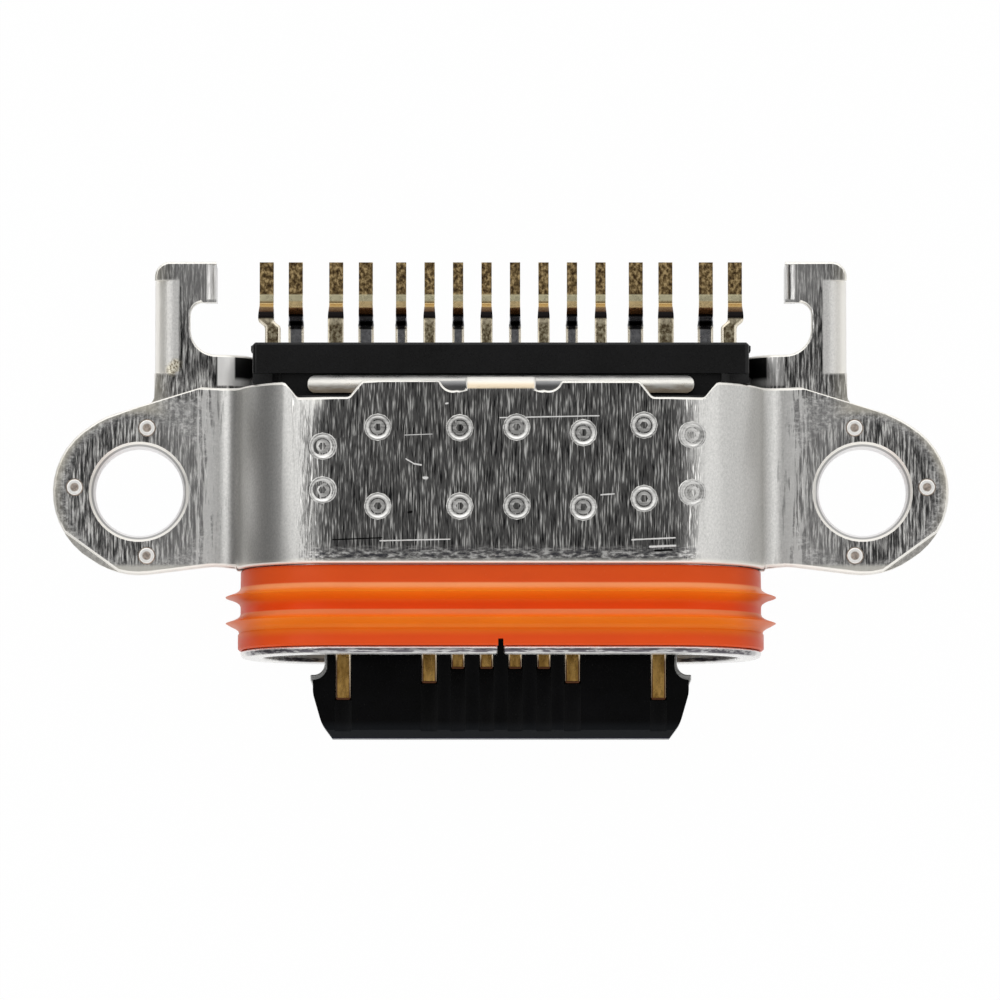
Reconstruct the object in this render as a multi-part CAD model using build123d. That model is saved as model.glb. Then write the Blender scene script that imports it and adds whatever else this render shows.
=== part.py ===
"""Waterproof charging port connector with 16 contacts.

Millimetres. X runs along the two ears, +Y towards the solder leads, +Z up through the ear holes.
The origin is midway between the ear holes, on the plane where the two ear layers meet, which is also
the middle plane of the oval mouth.
"""

import math
import os

from build123d import *

# Contacts of the tongue
contact_pitch = 0.5
signal_width = 0.26
power_width = 0.29
contact_thickness = 0.15
signal_setback = 1.20
bus_setback = 0.95
ground_setback = 0.66
contact_groove_depth = 0.03
contact_groove_gap = 0.12

# Tongue
tongue_edge = 0.58
tongue_thickness = 0.70
tongue_reach = 1.40
base_length = 1.18
tip_corner_x = 0.34
tip_corner_y = 0.78
tip_bend_x = 0.15
tip_bend_y = 0.26
tip_bend_radius = 0.50
tip_bevel = 0.14
latch_notch_depth = 0.25
latch_notch_setback = 1.12
latch_notch_length = 1.00
latch_notch_radius = 0.24

# Steel plate inside the tongue
latch_plate_thickness = 0.16
latch_plate_show = 0.05
latch_plate_tip_cover = 0.25
latch_plate_cover = 0.18
latch_window_width = 3.6
latch_window_setback = 0.60
latch_window_cover = 0.35

# Ground plates on the tongue's root
collar_length = 0.55
collar_height = 0.24
collar_edge = 0.45
shield_thickness = 0.10
shield_overlap = 0.40
shield_lip = 0.12

# Oval mouth shell
plug_room = 0.83
mouth_height = 2.56
shell_wall = 0.25
shell_front = -2.92
shell_length = 4.42
flange_lip = 0.14
flange_thickness = 0.13
flange_bevel = 0.05
seam_width = 0.11
seam_length = 0.15

# Silicone seal
seal_fit = 0.01
seal_thickness = 0.14
seal_front_thickness = 0.19
seal_lip = 0.27
seal_rear_gap = 0.02
lip_setbacks = (0.61, 1.07)
lip_half_width = 0.15
seal_notch_width = 0.09
seal_notch_length = 0.12

# Bracket sheet and arch
sheet = 0.20
weld_gap = 0.01
arch_setback = 1.56
arch_overhang = 0.31
ear_bend = 0.40

# Rear edge of the upper arch
dip_centre = 3.08
dip_floor_half = 0.45
dip_mouth_half = 0.67
dip_depth = 0.28
dip_corner = 0.10
relief_x = 0.83
relief_radius = 0.22
relief_setback = 0.05
stop_tab_setback = 0.17
stop_tab_bend = 0.06

# Weld spots: X, then Y of the rear and the front spot of each column
weld_spot_radius = 0.24
weld_spot_depth = 0.02
weld_nugget_radius = 0.07
weld_spot_sides = 12
weld_nugget_sides = 6
weld_columns = (
    (-3.09, 0.67, -0.09),
    (-2.13, 1.00, -0.37),
    (-0.71, 0.99, -0.37),
    (0.275, 1.00, -0.37),
    (1.43, 0.905, -0.39),
    (2.48, 1.035, -0.24),
    (3.32, 0.87, -0.13),
)
ear_spot_radius = 0.16
ear_spot_ring = 1.13
ear_spot_angles = (-97, 4, 97)
ear_nugget_depth = 0.08

# Ears
ear_reach = 1.71
ear_hole_radius = 0.77
ear_radius = 1.44
ear_nose_radius = 1.355
ear_nose_shift = 0.155
ear_corner_trim = 0.10
ear_corner_angle = -54
ear_waist_offset = 0.42
ear_waist_set = 0.07
ear_waist_radius = 0.90
ear_shoulder_offset = 0.62
ear_shoulder_set = 0.03
hole_lead_in = 0.11

# Hooked solder legs
leg_reach = 1.455
leg_web = 0.63
leg_run = 2.57
leg_corner = 0.27
hook_reach = 0.37
hook_width = 0.72
notch_length = 0.92
notch_upper_radius = 0.22
notch_lower_radius = 0.46
leg_root_radius = 0.16
root_web_drop = 0.55
edge_flange_length = 1.64
edge_flange_setback = 0.33
edge_flange_radius = 0.37
edge_flange_drop = 0.90
hook_tail_radius = 0.21
hook_tail_length = 0.62
hook_tail_drop = 0.75

# Rear housing
housing_side_gap = 0.10
neck_length = 0.49
housing_depth = 0.54
housing_top = 1.20
housing_bottom = -1.15
housing_edge = 0.08
pocket_half_width = 3.84
pocket_front_wall = 0.08
pocket_floor = 1.05
lead_boss_reach = 0.03
lead_boss_side = 0.12

# Bent strip in the housing's pocket
strap_half_width = 3.36
strap_clearance = 0.04
strap_top = 1.42
strap_depth = 0.33
strap_sheet = 0.15
strap_end_radius = 0.15

# Potting behind the tongue's base
potting_length = 0.22
insert_fit = 0.01

# Leads
lead_offsets = (0.25, 0.75, 1.25, 1.75, 2.37, 2.89, 3.60, 4.11)
signal_lead_width = 0.21
power_lead_width = 0.275
first_power_lead = 5
end_lead_jog = 0.12
end_lead_jog_length = 0.09
lead_drop = 0.20
lead_run = 2.56
lead_bend = 0.10
foot_length = 0.78
foot_trim = 0.015
upper_riser_length = 0.20
lower_riser_length = 0.33
fan_length = 0.95
fan_setback = 0.13
end_lead_inset = 0.20
drop_setback = 0.25
drop_length = 0.30

# Sizes that follow from the ones above
ground_x = 5.5 * contact_pitch
bus_x = 2.5 * contact_pitch
tongue_half = ground_x + tongue_edge
mouth_half = tongue_half + plug_room
mouth_radius = mouth_height / 2
flat_half = mouth_half - mouth_radius
shell_radius = mouth_radius + shell_wall
arch_inner = shell_radius + weld_gap
arch_outer = arch_inner + sheet
arch_half = flat_half + arch_outer
base_radius = mouth_radius - insert_fit
hole_x = arch_half + ear_reach
leg_outer = arch_half + leg_reach
leg_inner = leg_outer - leg_web
hook_end = arch_half + hook_reach
housing_half = flat_half + arch_inner - housing_side_gap
outer_bend = ear_bend + sheet
row_height = tongue_thickness / 2 - contact_thickness / 2
foot_height = contact_thickness / 2 - sheet
exit_height = row_height + lead_drop
shell_rear = shell_front + shell_length
tongue_tip = shell_front - tongue_reach
tongue_root = shell_rear - potting_length - base_length
signal_tip = tongue_tip + signal_setback
bus_tip = tongue_tip + bus_setback
ground_tip = tongue_tip + ground_setback
latch_notch_middle = tongue_tip + latch_notch_setback + latch_notch_length / 2
blade_half = tongue_half - latch_plate_show
latch_plate_rear = shell_rear - potting_length - latch_plate_cover
arch_front = shell_front + arch_setback
arch_rear = shell_rear + arch_overhang
leg_rear = shell_rear + leg_run
hook_front = leg_rear - hook_width
notch_floor = hook_front - notch_length
housing_step = shell_rear + neck_length
housing_rear = housing_step + housing_depth
strap_front = shell_rear + pocket_front_wall + strap_clearance
lead_rear = shell_rear + lead_run
foot_front = lead_rear - foot_length
fan_front = tongue_root + fan_setback
fan_rear = fan_front + fan_length
drop_front = shell_rear + drop_setback
margin = 1.0
tiny = 0.001


def along_x(face, x_start, x_end):
    """Extrudes a Y-Z face from one X to another."""
    return extrude(Plane.YZ.offset(x_start) * face, amount=x_end - x_start)


def along_y(face, y_front, y_rear):
    """Extrudes an X-Z face from a front Y to a rear Y."""
    return extrude(Plane.XZ.offset(-y_rear) * face, amount=y_rear - y_front)


def along_z(face, z_low, z_high):
    """Extrudes a plan face from one height to another."""
    return extrude(Plane.XY.offset(z_low) * face, amount=z_high - z_low)


def block(x_low, x_high, y_low, y_high, z_low, z_high):
    """A box between given planes."""
    plan = Pos((x_low + x_high) / 2, (y_low + y_high) / 2) * Rectangle(x_high - x_low, y_high - y_low)
    return along_z(plan, z_low, z_high)


def outline(*points):
    """A closed face with straight sides through the given points."""
    return make_face(Polyline(*points, close=True))


def both_sides(shape):
    """A shape and its mirror image across the middle plane, as one."""
    return shape + mirror(shape, about=Plane.YZ)


def oval(radius):
    """The mouth's oval, flat above and below with round ends, at a given end radius."""
    return SlotCenterToCenter(2 * flat_half, 2 * radius)


def vertices_at(face, x=None, y=None):
    """The corners of a flat face that lie at a given X, a given Y, or both."""

    def matches(vertex):
        """Whether a corner lies at the given place."""
        right_x = x is None or abs(vertex.X - x) < tiny
        right_y = y is None or abs(vertex.Y - y) < tiny
        return right_x and right_y

    return face.vertices().filter_by(matches)


def within(vertices, half_width):
    """The corners that lie nearer to the middle plane than a given half width."""
    return [vertex for vertex in vertices if abs(vertex.X) < half_width]


def ribbon(points, thickness, bend):
    """A bent strip's side view: a centre line with round bends, given its thickness."""
    return trace(FilletPolyline(*points, radius=bend), line_width=thickness)


def mouth_shell():
    """Oval tube with a front flange and a short seam slit at its top."""
    tube = along_y(oval(shell_radius), shell_front, shell_rear)
    flange = along_y(oval(shell_radius + flange_lip), shell_front, shell_front + flange_thickness)
    flange = chamfer(flange.edges().group_by(Axis.Y)[0], flange_bevel)
    cavity = along_y(oval(mouth_radius), shell_front - margin, shell_rear + margin)
    slit_top = shell_radius + flange_lip + margin
    slit_rear = shell_front + flange_thickness + seam_length
    slit = block(-seam_width / 2, seam_width / 2, shell_front - margin, slit_rear, 0, slit_top)
    return tube + flange - cavity - slit


def seal_ring():
    """Silicone ring round the shell with two sharp lips and a notch over the shell's seam."""
    inner = shell_radius + seal_fit
    rear = arch_front - seal_rear_gap
    front = shell_front + flange_thickness + seal_fit
    base = shell_radius + seal_thickness
    nose = shell_radius + seal_front_thickness
    tip = base + seal_lip
    first, second = (shell_front + setback for setback in reversed(lip_setbacks))
    side = outline(
        (rear, inner),
        (rear, base),
        (first + lip_half_width, base),
        (first, tip),
        (first - lip_half_width, base),
        (second + lip_half_width, base),
        (second, tip),
        (second - lip_half_width, nose),
        (front, nose),
        (front, inner),
    )
    end = revolve(Plane.YZ * side, axis=Axis.Y, revolution_arc=180)
    if end.bounding_box().center().X < 0:
        end = mirror(end, about=Plane.YZ)
    end = Pos(flat_half, 0, 0) * end
    top = along_x(side, -flat_half, flat_half)
    half_notch = seal_notch_width / 2
    notch = block(-half_notch, half_notch, front - margin, front + seal_notch_length, 0, nose + margin)
    return both_sides(end) + top + mirror(top, about=Plane.XY) - notch


def arch_section(half_width):
    """Cross-section of the upper strap: an arch over the shell with flat ears to both sides."""
    skin = SlotCenterToCenter(2 * flat_half, 2 * arch_outer)
    skin += Pos(0, sheet / 2) * Rectangle(2 * half_width, sheet)
    skin = fillet(within(vertices_at(skin, y=sheet), arch_half), ear_bend)
    half_plane = Pos(0, -margin * 2) * Rectangle(2 * half_width + margin, margin * 4)
    section = skin - SlotCenterToCenter(2 * flat_half, 2 * arch_inner) - half_plane
    toes = within(vertices_at(section, y=0), arch_half)
    return fillet(toes, outer_bend)


def ear_tangent(point, turn):
    """Where a line from a point of the ear's edge touches the ear's round end."""
    reach = math.hypot(point[0] - hole_x, point[1])
    angle = math.atan2(point[1], point[0] - hole_x) + turn * math.acos(ear_radius / reach)
    return hole_x + ear_radius * math.cos(angle), ear_radius * math.sin(angle)


def ear_outline(trim):
    """Plan of one ear: round end, slightly longer nose, trimmed front corner and long shoulder."""
    shoulder = (arch_half + ear_shoulder_offset, arch_rear + ear_shoulder_set)
    waist = (arch_half + ear_waist_offset, arch_front + ear_waist_set)
    middle = arch_half - margin
    web = outline(
        (middle, arch_front),
        (arch_half, arch_front + ear_waist_set / 2),
        waist,
        ear_tangent(waist, 1),
        (hole_x, 0),
        ear_tangent(shoulder, -1),
        shoulder,
        (arch_half, arch_rear),
        (middle, arch_rear),
    )
    web = fillet(vertices_at(web, *waist), ear_waist_radius)
    ear = Pos(hole_x, 0) * Circle(ear_radius) + Pos(hole_x + ear_nose_shift, 0) * Circle(ear_nose_radius)
    if trim > 0:
        beyond = Pos(ear_radius - trim + margin, 0) * Rectangle(2 * margin, 4 * margin)
        ear -= Pos(hole_x, 0) * Rot(0, 0, ear_corner_angle) * beyond
    return web + ear


def ear_holes(z_low, z_high):
    """The two screw holes through the ears."""
    hole = along_z(Pos(hole_x, 0) * Circle(ear_hole_radius), z_low, z_high)
    return both_sides(hole)


def rear_dips():
    """Cuts for the two shallow dips in the upper arch's rear edge, with round corners."""
    behind = arch_rear + margin
    floor = arch_rear - dip_depth
    reach = dip_mouth_half + 2 * dip_corner
    dip = outline(
        (-reach, behind),
        (-reach, arch_rear),
        (-dip_mouth_half, arch_rear),
        (-dip_floor_half, floor),
        (dip_floor_half, floor),
        (dip_mouth_half, arch_rear),
        (reach, arch_rear),
        (reach, behind),
    )
    corners = vertices_at(dip, y=floor) + within(vertices_at(dip, y=arch_rear), reach - tiny)
    dip = Pos(dip_centre, 0) * fillet(corners, dip_corner)
    return both_sides(along_z(dip, arch_inner / 2, arch_outer + margin))


def stop_tab():
    """Cuts beside the middle of the rear edge, and the tab that bends down between them."""
    relief = both_sides(Pos(relief_x, arch_rear + relief_setback) * Circle(relief_radius))
    tab_half = relief_x - relief_radius
    shelf = Pos(0, arch_rear) * Rectangle(2 * tab_half + relief_radius, 2 * stop_tab_setback)
    cuts = along_z(relief + shelf, arch_inner / 2, arch_outer + margin)
    start = arch_rear - stop_tab_setback
    middle = arch_outer - sheet / 2
    bend = stop_tab_bend + sheet / 2
    turn = start + bend
    line = ((start - sheet, middle), (turn, middle), (turn, strap_top + insert_fit))
    tab = along_x(ribbon(line, sheet, bend), -tab_half, tab_half)
    return cuts, tab


def weld_mark(radius):
    """Cutter for one weld spot: a shallow ring with a raised middle, its floor on the origin."""
    ring = RegularPolygon(radius, weld_spot_sides) - RegularPolygon(weld_nugget_radius, weld_nugget_sides)
    return extrude(ring, amount=margin / 2)


def weld_spots():
    """Cutters for the spot welds that hold the arch on the shell."""
    marks = []
    for x, rear_y, front_y in weld_columns:
        past_flat = max(abs(x) - flat_half, 0)
        height = math.sqrt(arch_outer**2 - past_flat**2)
        lean = math.copysign(math.degrees(math.asin(past_flat / arch_outer)), x)
        for y in (rear_y, front_y):
            seat = Pos(x, y, height) * Rot(0, lean, 0) * Pos(0, 0, -weld_spot_depth)
            marks.append(seat * weld_mark(weld_spot_radius))
    return marks


def ear_spots():
    """Places of the three small welds round each screw hole that join the two ears."""
    places = []
    for angle in ear_spot_angles:
        places.append(Pos(hole_x, 0) * Rot(0, 0, angle) * Pos(ear_spot_ring, 0))
    return places


def ear_marks():
    """Cutters for the rings that the small welds leave on the upper ears."""
    marks = []
    for place in ear_spots():
        mark = place * Pos(0, 0, sheet - weld_spot_depth) * weld_mark(ear_spot_radius)
        marks.append(mark)
        marks.append(mirror(mark, about=Plane.YZ))
    return marks


def ear_nuggets():
    """Weld metal of the small welds, which reaches from the upper ears into the lower ones."""
    nuggets = []
    for place in ear_spots():
        plan = place * RegularPolygon(weld_nugget_radius, weld_nugget_sides)
        nugget = along_z(plan, -ear_nugget_depth, sheet / 2)
        nuggets.append(nugget)
        nuggets.append(mirror(nugget, about=Plane.YZ))
    return nuggets


def upper_bracket():
    """Upper strap: arch and ears in one stamped sheet."""
    section = arch_section(hole_x + ear_radius + margin)
    strap = along_y(section, arch_front - margin, arch_rear + margin)
    middle = Pos(0, (arch_front + arch_rear) / 2) * Rectangle(2 * arch_half, arch_rear - arch_front)
    plan = middle + both_sides(ear_outline(ear_corner_trim))
    strap = strap & along_z(plan, -margin, arch_outer + margin)
    cuts, tab = stop_tab()
    strap = strap - rear_dips() - cuts + tab - ear_holes(-margin, margin)
    rims = []
    for edge in strap.edges().filter_by(GeomType.CIRCLE):
        at_top = abs(edge.center().Z - sheet) < tiny
        if at_top and abs(edge.radius - ear_hole_radius) < tiny:
            rims.append(edge)
    strap = chamfer(rims, hole_lead_in)
    for mark in weld_spots() + ear_marks():
        strap -= mark
    for nugget in ear_nuggets():
        strap += nugget
    return strap


def leg_plan():
    """Plan of one hooked leg, from under the ear to its rear end."""
    root_front = arch_rear - margin
    root_inner = housing_half + weld_gap
    leg = outline(
        (root_inner, root_front),
        (leg_outer, root_front),
        (leg_outer, leg_rear),
        (hook_end, leg_rear),
        (hook_end, hook_front),
        (leg_inner, hook_front),
        (leg_inner, notch_floor),
        (root_inner, notch_floor),
    )
    leg = fillet(vertices_at(leg, leg_outer, leg_rear), leg_corner)
    leg = fillet(vertices_at(leg, leg_inner, hook_front), notch_upper_radius)
    return fillet(vertices_at(leg, leg_inner, notch_floor), notch_lower_radius)


def edge_flange():
    """Bent-down outer edge of a leg, which passes through the board."""
    bend = edge_flange_radius - sheet / 2
    line = (
        (leg_outer - edge_flange_radius - sheet, -sheet / 2),
        (leg_outer - sheet / 2, -sheet / 2),
        (leg_outer - sheet / 2, -edge_flange_drop),
    )
    rear = leg_rear - edge_flange_setback
    front = rear - edge_flange_length
    flange = along_y(ribbon(line, sheet, bend), front, rear)
    corner = block(leg_outer - edge_flange_radius, leg_outer + margin, front, rear, -margin, margin)
    return corner, flange


def hook_tail():
    """Bent-down end of a hook, which is soldered into the board."""
    bend = hook_tail_radius - sheet / 2
    line = (
        (hook_end + 2 * hook_tail_radius, -sheet / 2),
        (hook_end + sheet / 2, -sheet / 2),
        (hook_end + sheet / 2, -hook_tail_drop),
    )
    rear = leg_rear - (hook_width - hook_tail_length) / 2
    front = rear - hook_tail_length
    tail = along_y(ribbon(line, sheet, bend), front, rear)
    corner = block(hook_end - margin, hook_end + hook_tail_radius, front, rear, -margin, margin)
    return corner, tail


def lower_bracket():
    """Lower strap: trough, second ear layer and the two hooked rear legs."""
    section = mirror(arch_section(hole_x + ear_radius + margin), about=Plane.XZ)
    strap = along_y(section, arch_front - margin, leg_rear + margin)
    middle = Pos(0, (arch_front + arch_rear) / 2) * Rectangle(2 * arch_half, arch_rear - arch_front)
    side = ear_outline(0) + leg_plan()
    crotch = vertices_at(side, x=leg_outer).sort_by(Axis.Y)[0]
    side = fillet(crotch, leg_root_radius)
    plan = middle + both_sides(side)
    strap = strap & along_z(plan, -arch_outer - margin, margin)
    rear_trough = block(
        -arch_half - margin, arch_half + margin, arch_rear, leg_rear, -arch_outer - margin, -root_web_drop
    )
    strap = strap - rear_trough - ear_holes(-margin, margin)
    for corner, flange in (edge_flange(), hook_tail()):
        strap = strap - both_sides(corner) + both_sides(flange)
    return without(strap, ear_nuggets())


def contact_positions():
    """X of the eight contacts of a row, from left to right."""
    steps = (-5.5, -2.5, -1.5, -0.5, 0.5, 1.5, 2.5, 5.5)
    return [step * contact_pitch for step in steps]


def lead_positions(row):
    """Numbers from the middle and X of a row's leads: the two rows share one line of feet."""
    upper = (-8, -6, -3, -1, 2, 4, 6, 8)
    lower = (-7, -5, -4, -2, 1, 3, 5, 7)
    numbers = upper if row == "upper" else lower
    return [(number, math.copysign(lead_offsets[abs(number) - 1], number)) for number in numbers]


def contact_form(x):
    """Tip and width of the contact at a given X."""
    if abs(x) > (ground_x + bus_x) / 2:
        return ground_tip, power_width
    if abs(x) > bus_x - contact_pitch / 2:
        return bus_tip, power_width
    return signal_tip, signal_width


def terminal(row, contact_x, lead):
    """One contact with its jog inside the base and its bent solder lead."""
    number, foot_x = lead
    tip, width = contact_form(contact_x)
    lead_width = power_lead_width if abs(number) >= first_power_lead else signal_lead_width
    upper = row == "upper"
    jogged = upper and abs(number) == len(lead_offsets)
    lead_x = foot_x - math.copysign(end_lead_jog, foot_x) if jogged else foot_x
    riser_front = foot_front - (upper_riser_length if upper else lower_riser_length)
    blade_rear = riser_front - lead_bend if jogged else drop_front
    half, lead_half = width / 2, lead_width / 2
    left = [(contact_x - half, tip), (contact_x - half, fan_front)]
    right = [(contact_x + half, tip), (contact_x + half, fan_front)]
    base_x = lead_x - math.copysign(end_lead_inset, foot_x) if jogged else lead_x
    base_ends = (fan_rear, shell_rear + insert_fit) if jogged else (fan_rear,)
    for y in base_ends:
        left += [(base_x - lead_half, y)]
        right += [(base_x + lead_half, y)]
    if jogged:
        for y in (housing_step, blade_rear - end_lead_jog_length):
            left += [(lead_x - lead_half, y)]
            right += [(lead_x + lead_half, y)]
    left += [(foot_x - lead_half, blade_rear)]
    right += [(foot_x + lead_half, blade_rear)]
    level = row_height if upper else -row_height
    blade = along_z(outline(*left, *reversed(right)), level - contact_thickness / 2, level + contact_thickness / 2)
    start = blade_rear if jogged else blade_rear - contact_thickness
    if upper:
        line = [(start, level), (riser_front, level)]
    else:
        drop_rear = drop_front + drop_length
        line = [(start, level), (drop_front, level), (drop_rear, -exit_height), (riser_front, -exit_height)]
    line += [(foot_front, foot_height), (lead_rear, foot_height)]
    foot_half = lead_half - foot_trim
    plan = outline(
        (foot_x - lead_half, start - margin),
        (foot_x - lead_half, riser_front),
        (foot_x - foot_half, foot_front),
        (foot_x - foot_half, lead_rear + margin),
        (foot_x + foot_half, lead_rear + margin),
        (foot_x + foot_half, foot_front),
        (foot_x + lead_half, riser_front),
        (foot_x + lead_half, start - margin),
    )
    strip = along_x(ribbon(line, contact_thickness, lead_bend), foot_x - lead_half, foot_x + lead_half)
    return blade + (strip & along_z(plan, -margin, margin))


def terminal_row(row):
    """The eight terminals of a row, by node name."""
    solids = {}
    for index, (contact_x, lead) in enumerate(zip(contact_positions(), lead_positions(row)), start=1):
        solids[f"{row}_terminal_{index}"] = terminal(row, contact_x, lead)
    return solids


def latch_notches(waist, length, corner_radius):
    """Cuts for the side notches that a plug's latches fall into, with a given half width between them."""
    bite = Pos(waist + margin, latch_notch_middle) * Rectangle(2 * margin, length)
    return both_sides(fillet(vertices_at(bite, x=waist), corner_radius))


def latch_plate():
    """Steel plate inside the tongue, notched at its sides for the plug's latches."""
    tip = tongue_tip + latch_plate_tip_cover
    plan = outline(
        (-tongue_half + tip_corner_x, tip),
        (tongue_half - tip_corner_x, tip),
        (tongue_half, tip + tip_corner_y),
        (tongue_half, latch_plate_rear),
        (-tongue_half, latch_plate_rear),
        (-tongue_half, tip + tip_corner_y),
    )
    waist = tongue_half - latch_notch_depth
    plan -= latch_notches(waist, latch_notch_length, latch_notch_radius - latch_plate_show)
    window_front = tongue_tip + latch_notch_setback + latch_notch_length + latch_window_setback
    window_rear = latch_plate_rear - latch_window_cover
    window = Pos(0, (window_front + window_rear) / 2) * Rectangle(latch_window_width, window_rear - window_front)
    return along_z(plan - window, -latch_plate_thickness / 2, latch_plate_thickness / 2)


def shield_plate():
    """Upper ground plate: a flat plate on the collar with a short lip over its front edge."""
    half = tongue_half - collar_edge / 2
    front = tongue_root - collar_length
    top = tongue_thickness / 2 + collar_height
    plate = block(-half, half, front, tongue_root + shield_overlap, top, top + shield_thickness)
    lip = block(-half, half, front - shield_thickness, front, top - shield_lip, top + shield_thickness)
    return plate + lip


def tongue_plan():
    """Plan of the tongue with its bevelled front corners and latch notches."""
    shoulder = tongue_tip + tip_corner_y
    rear = tongue_root + base_length / 2
    bend_x = blade_half - tip_bend_x
    bend_y = tongue_tip + tip_bend_y
    plan = outline(
        (-blade_half + tip_corner_x, tongue_tip),
        (blade_half - tip_corner_x, tongue_tip),
        (bend_x, bend_y),
        (blade_half, shoulder),
        (blade_half, rear),
        (-blade_half, rear),
        (-blade_half, shoulder),
        (-bend_x, bend_y),
    )
    plan = fillet(vertices_at(plan, y=shoulder) + vertices_at(plan, y=bend_y), tip_bend_radius)
    length = latch_notch_length + 4 * latch_plate_show
    return plan - latch_notches(blade_half - latch_notch_depth, length, latch_notch_radius)


def contact_grooves():
    """Shallow grooves ahead of the contacts, on both faces of the tongue."""
    grooves = []
    face = tongue_thickness / 2
    for x in contact_positions():
        tip, width = contact_form(x)
        front = tongue_tip + contact_groove_gap
        groove = block(x - width / 2, x + width / 2, front, tip, face - contact_groove_depth, face + margin)
        grooves.append(groove)
        grooves.append(mirror(groove, about=Plane.XY))
    return grooves


def tongue_body():
    """Tongue, collar and oval base in one moulding, before the inserts are taken out of it."""
    half_thickness = tongue_thickness / 2
    blade = along_z(tongue_plan(), -half_thickness, half_thickness)
    nose = blade.edges().filter_by(Axis.X).group_by(Axis.Y)[0]
    blade = chamfer(nose, tip_bevel)
    collar_half = tongue_half - collar_edge / 2
    collar_top = half_thickness + collar_height
    collar_front = tongue_root - collar_length
    collar_rear = tongue_root + base_length / 2
    collar = block(-collar_half, collar_half, collar_front, collar_rear, -collar_top, collar_top)
    base = along_y(oval(base_radius), tongue_root, tongue_root + base_length)
    body = blade + collar + base
    for groove in contact_grooves():
        body -= groove
    return body


def potting_body():
    """Oval plug of sealant behind the base, before the terminals are taken out of it."""
    return along_y(oval(base_radius), shell_rear - potting_length, shell_rear)


def lead_bosses():
    """Small swellings of the housing's rear wall round the upper leads."""
    bosses = []
    for number, x in lead_positions("upper"):
        width = power_lead_width if abs(number) >= first_power_lead else signal_lead_width
        foot = width / 2 + lead_boss_side
        head = width / 2 + lead_boss_side / 2
        rear = housing_rear + lead_boss_reach
        plan = outline(
            (x - foot, housing_rear - housing_edge),
            (x - foot, housing_rear),
            (x - head, rear),
            (x + head, rear),
            (x + foot, housing_rear),
            (x + foot, housing_rear - housing_edge),
        )
        bosses.append(along_z(plan, 0, row_height + contact_thickness * 1.5))
    return bosses


def housing_body():
    """Rear block with a neck that fits under the arch, before the terminals are taken out of it."""
    height = housing_top - housing_bottom
    level = (housing_top + housing_bottom) / 2
    rear_block = along_y(Pos(0, level) * Rectangle(2 * housing_half, height), housing_step, housing_rear)
    rear_block = fillet(rear_block.edges().filter_by(Axis.Y), housing_edge)
    rear_block = chamfer(rear_block.edges().group_by(Axis.Y)[-1], housing_edge / 2)
    neck = along_y(oval(shell_radius - insert_fit), shell_rear, housing_step)
    sides = block(
        -housing_half, housing_half, arch_rear + insert_fit, housing_step, housing_bottom, pocket_floor
    )
    pocket_front = shell_rear + pocket_front_wall
    pocket = block(
        -pocket_half_width, pocket_half_width, pocket_front, housing_step, pocket_floor, arch_outer + margin
    )
    body = rear_block + neck + sides - pocket
    for boss in lead_bosses():
        body += boss
    return body


def rear_strap():
    """Bent steel strip with round ends that lies in the housing's pocket."""
    middle = strap_top - strap_sheet / 2
    rear = strap_front + strap_depth - strap_sheet / 2
    line = ((strap_front, middle), (rear, middle), (rear, pocket_floor))
    bar = along_x(ribbon(line, strap_sheet, strap_sheet), -strap_half_width, strap_half_width)
    plan = Pos(0, strap_front + strap_depth / 2) * Rectangle(2 * strap_half_width, strap_depth)
    plan = fillet(plan.vertices(), strap_end_radius)
    return bar & along_z(plan, 0, arch_outer)


def without(body, inserts):
    """A moulding with the space of its inserts taken out."""
    for insert in inserts:
        body -= insert
    return body


def build():
    """All pieces by node name."""
    pieces = {
        "upper_bracket": upper_bracket(),
        "lower_bracket": lower_bracket(),
        "mouth_shell": mouth_shell(),
        "seal_ring": seal_ring(),
        "latch_plate": latch_plate(),
        "upper_shield_plate": shield_plate(),
        "lower_shield_plate": mirror(shield_plate(), about=Plane.XY),
        "rear_strap": rear_strap(),
    }
    terminals = terminal_row("upper") | terminal_row("lower")
    plates = [pieces[name] for name in ("latch_plate", "upper_shield_plate", "lower_shield_plate")]
    inserts = list(terminals.values())
    pieces["tongue"] = without(tongue_body(), inserts + plates)
    pieces["potting_seal"] = without(potting_body(), inserts)
    pieces["rear_housing"] = without(housing_body(), inserts)
    return pieces | terminals


os.makedirs("parts", exist_ok=True)
for name, solid in build().items():
    export_step(solid, f"parts/{name}.step")
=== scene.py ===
"""Looks of the waterproof charging port connector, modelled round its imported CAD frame."""

import logging
import math
from dataclasses import dataclass
from enum import Enum
from functools import reduce
from typing import Callable, Sequence

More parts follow.
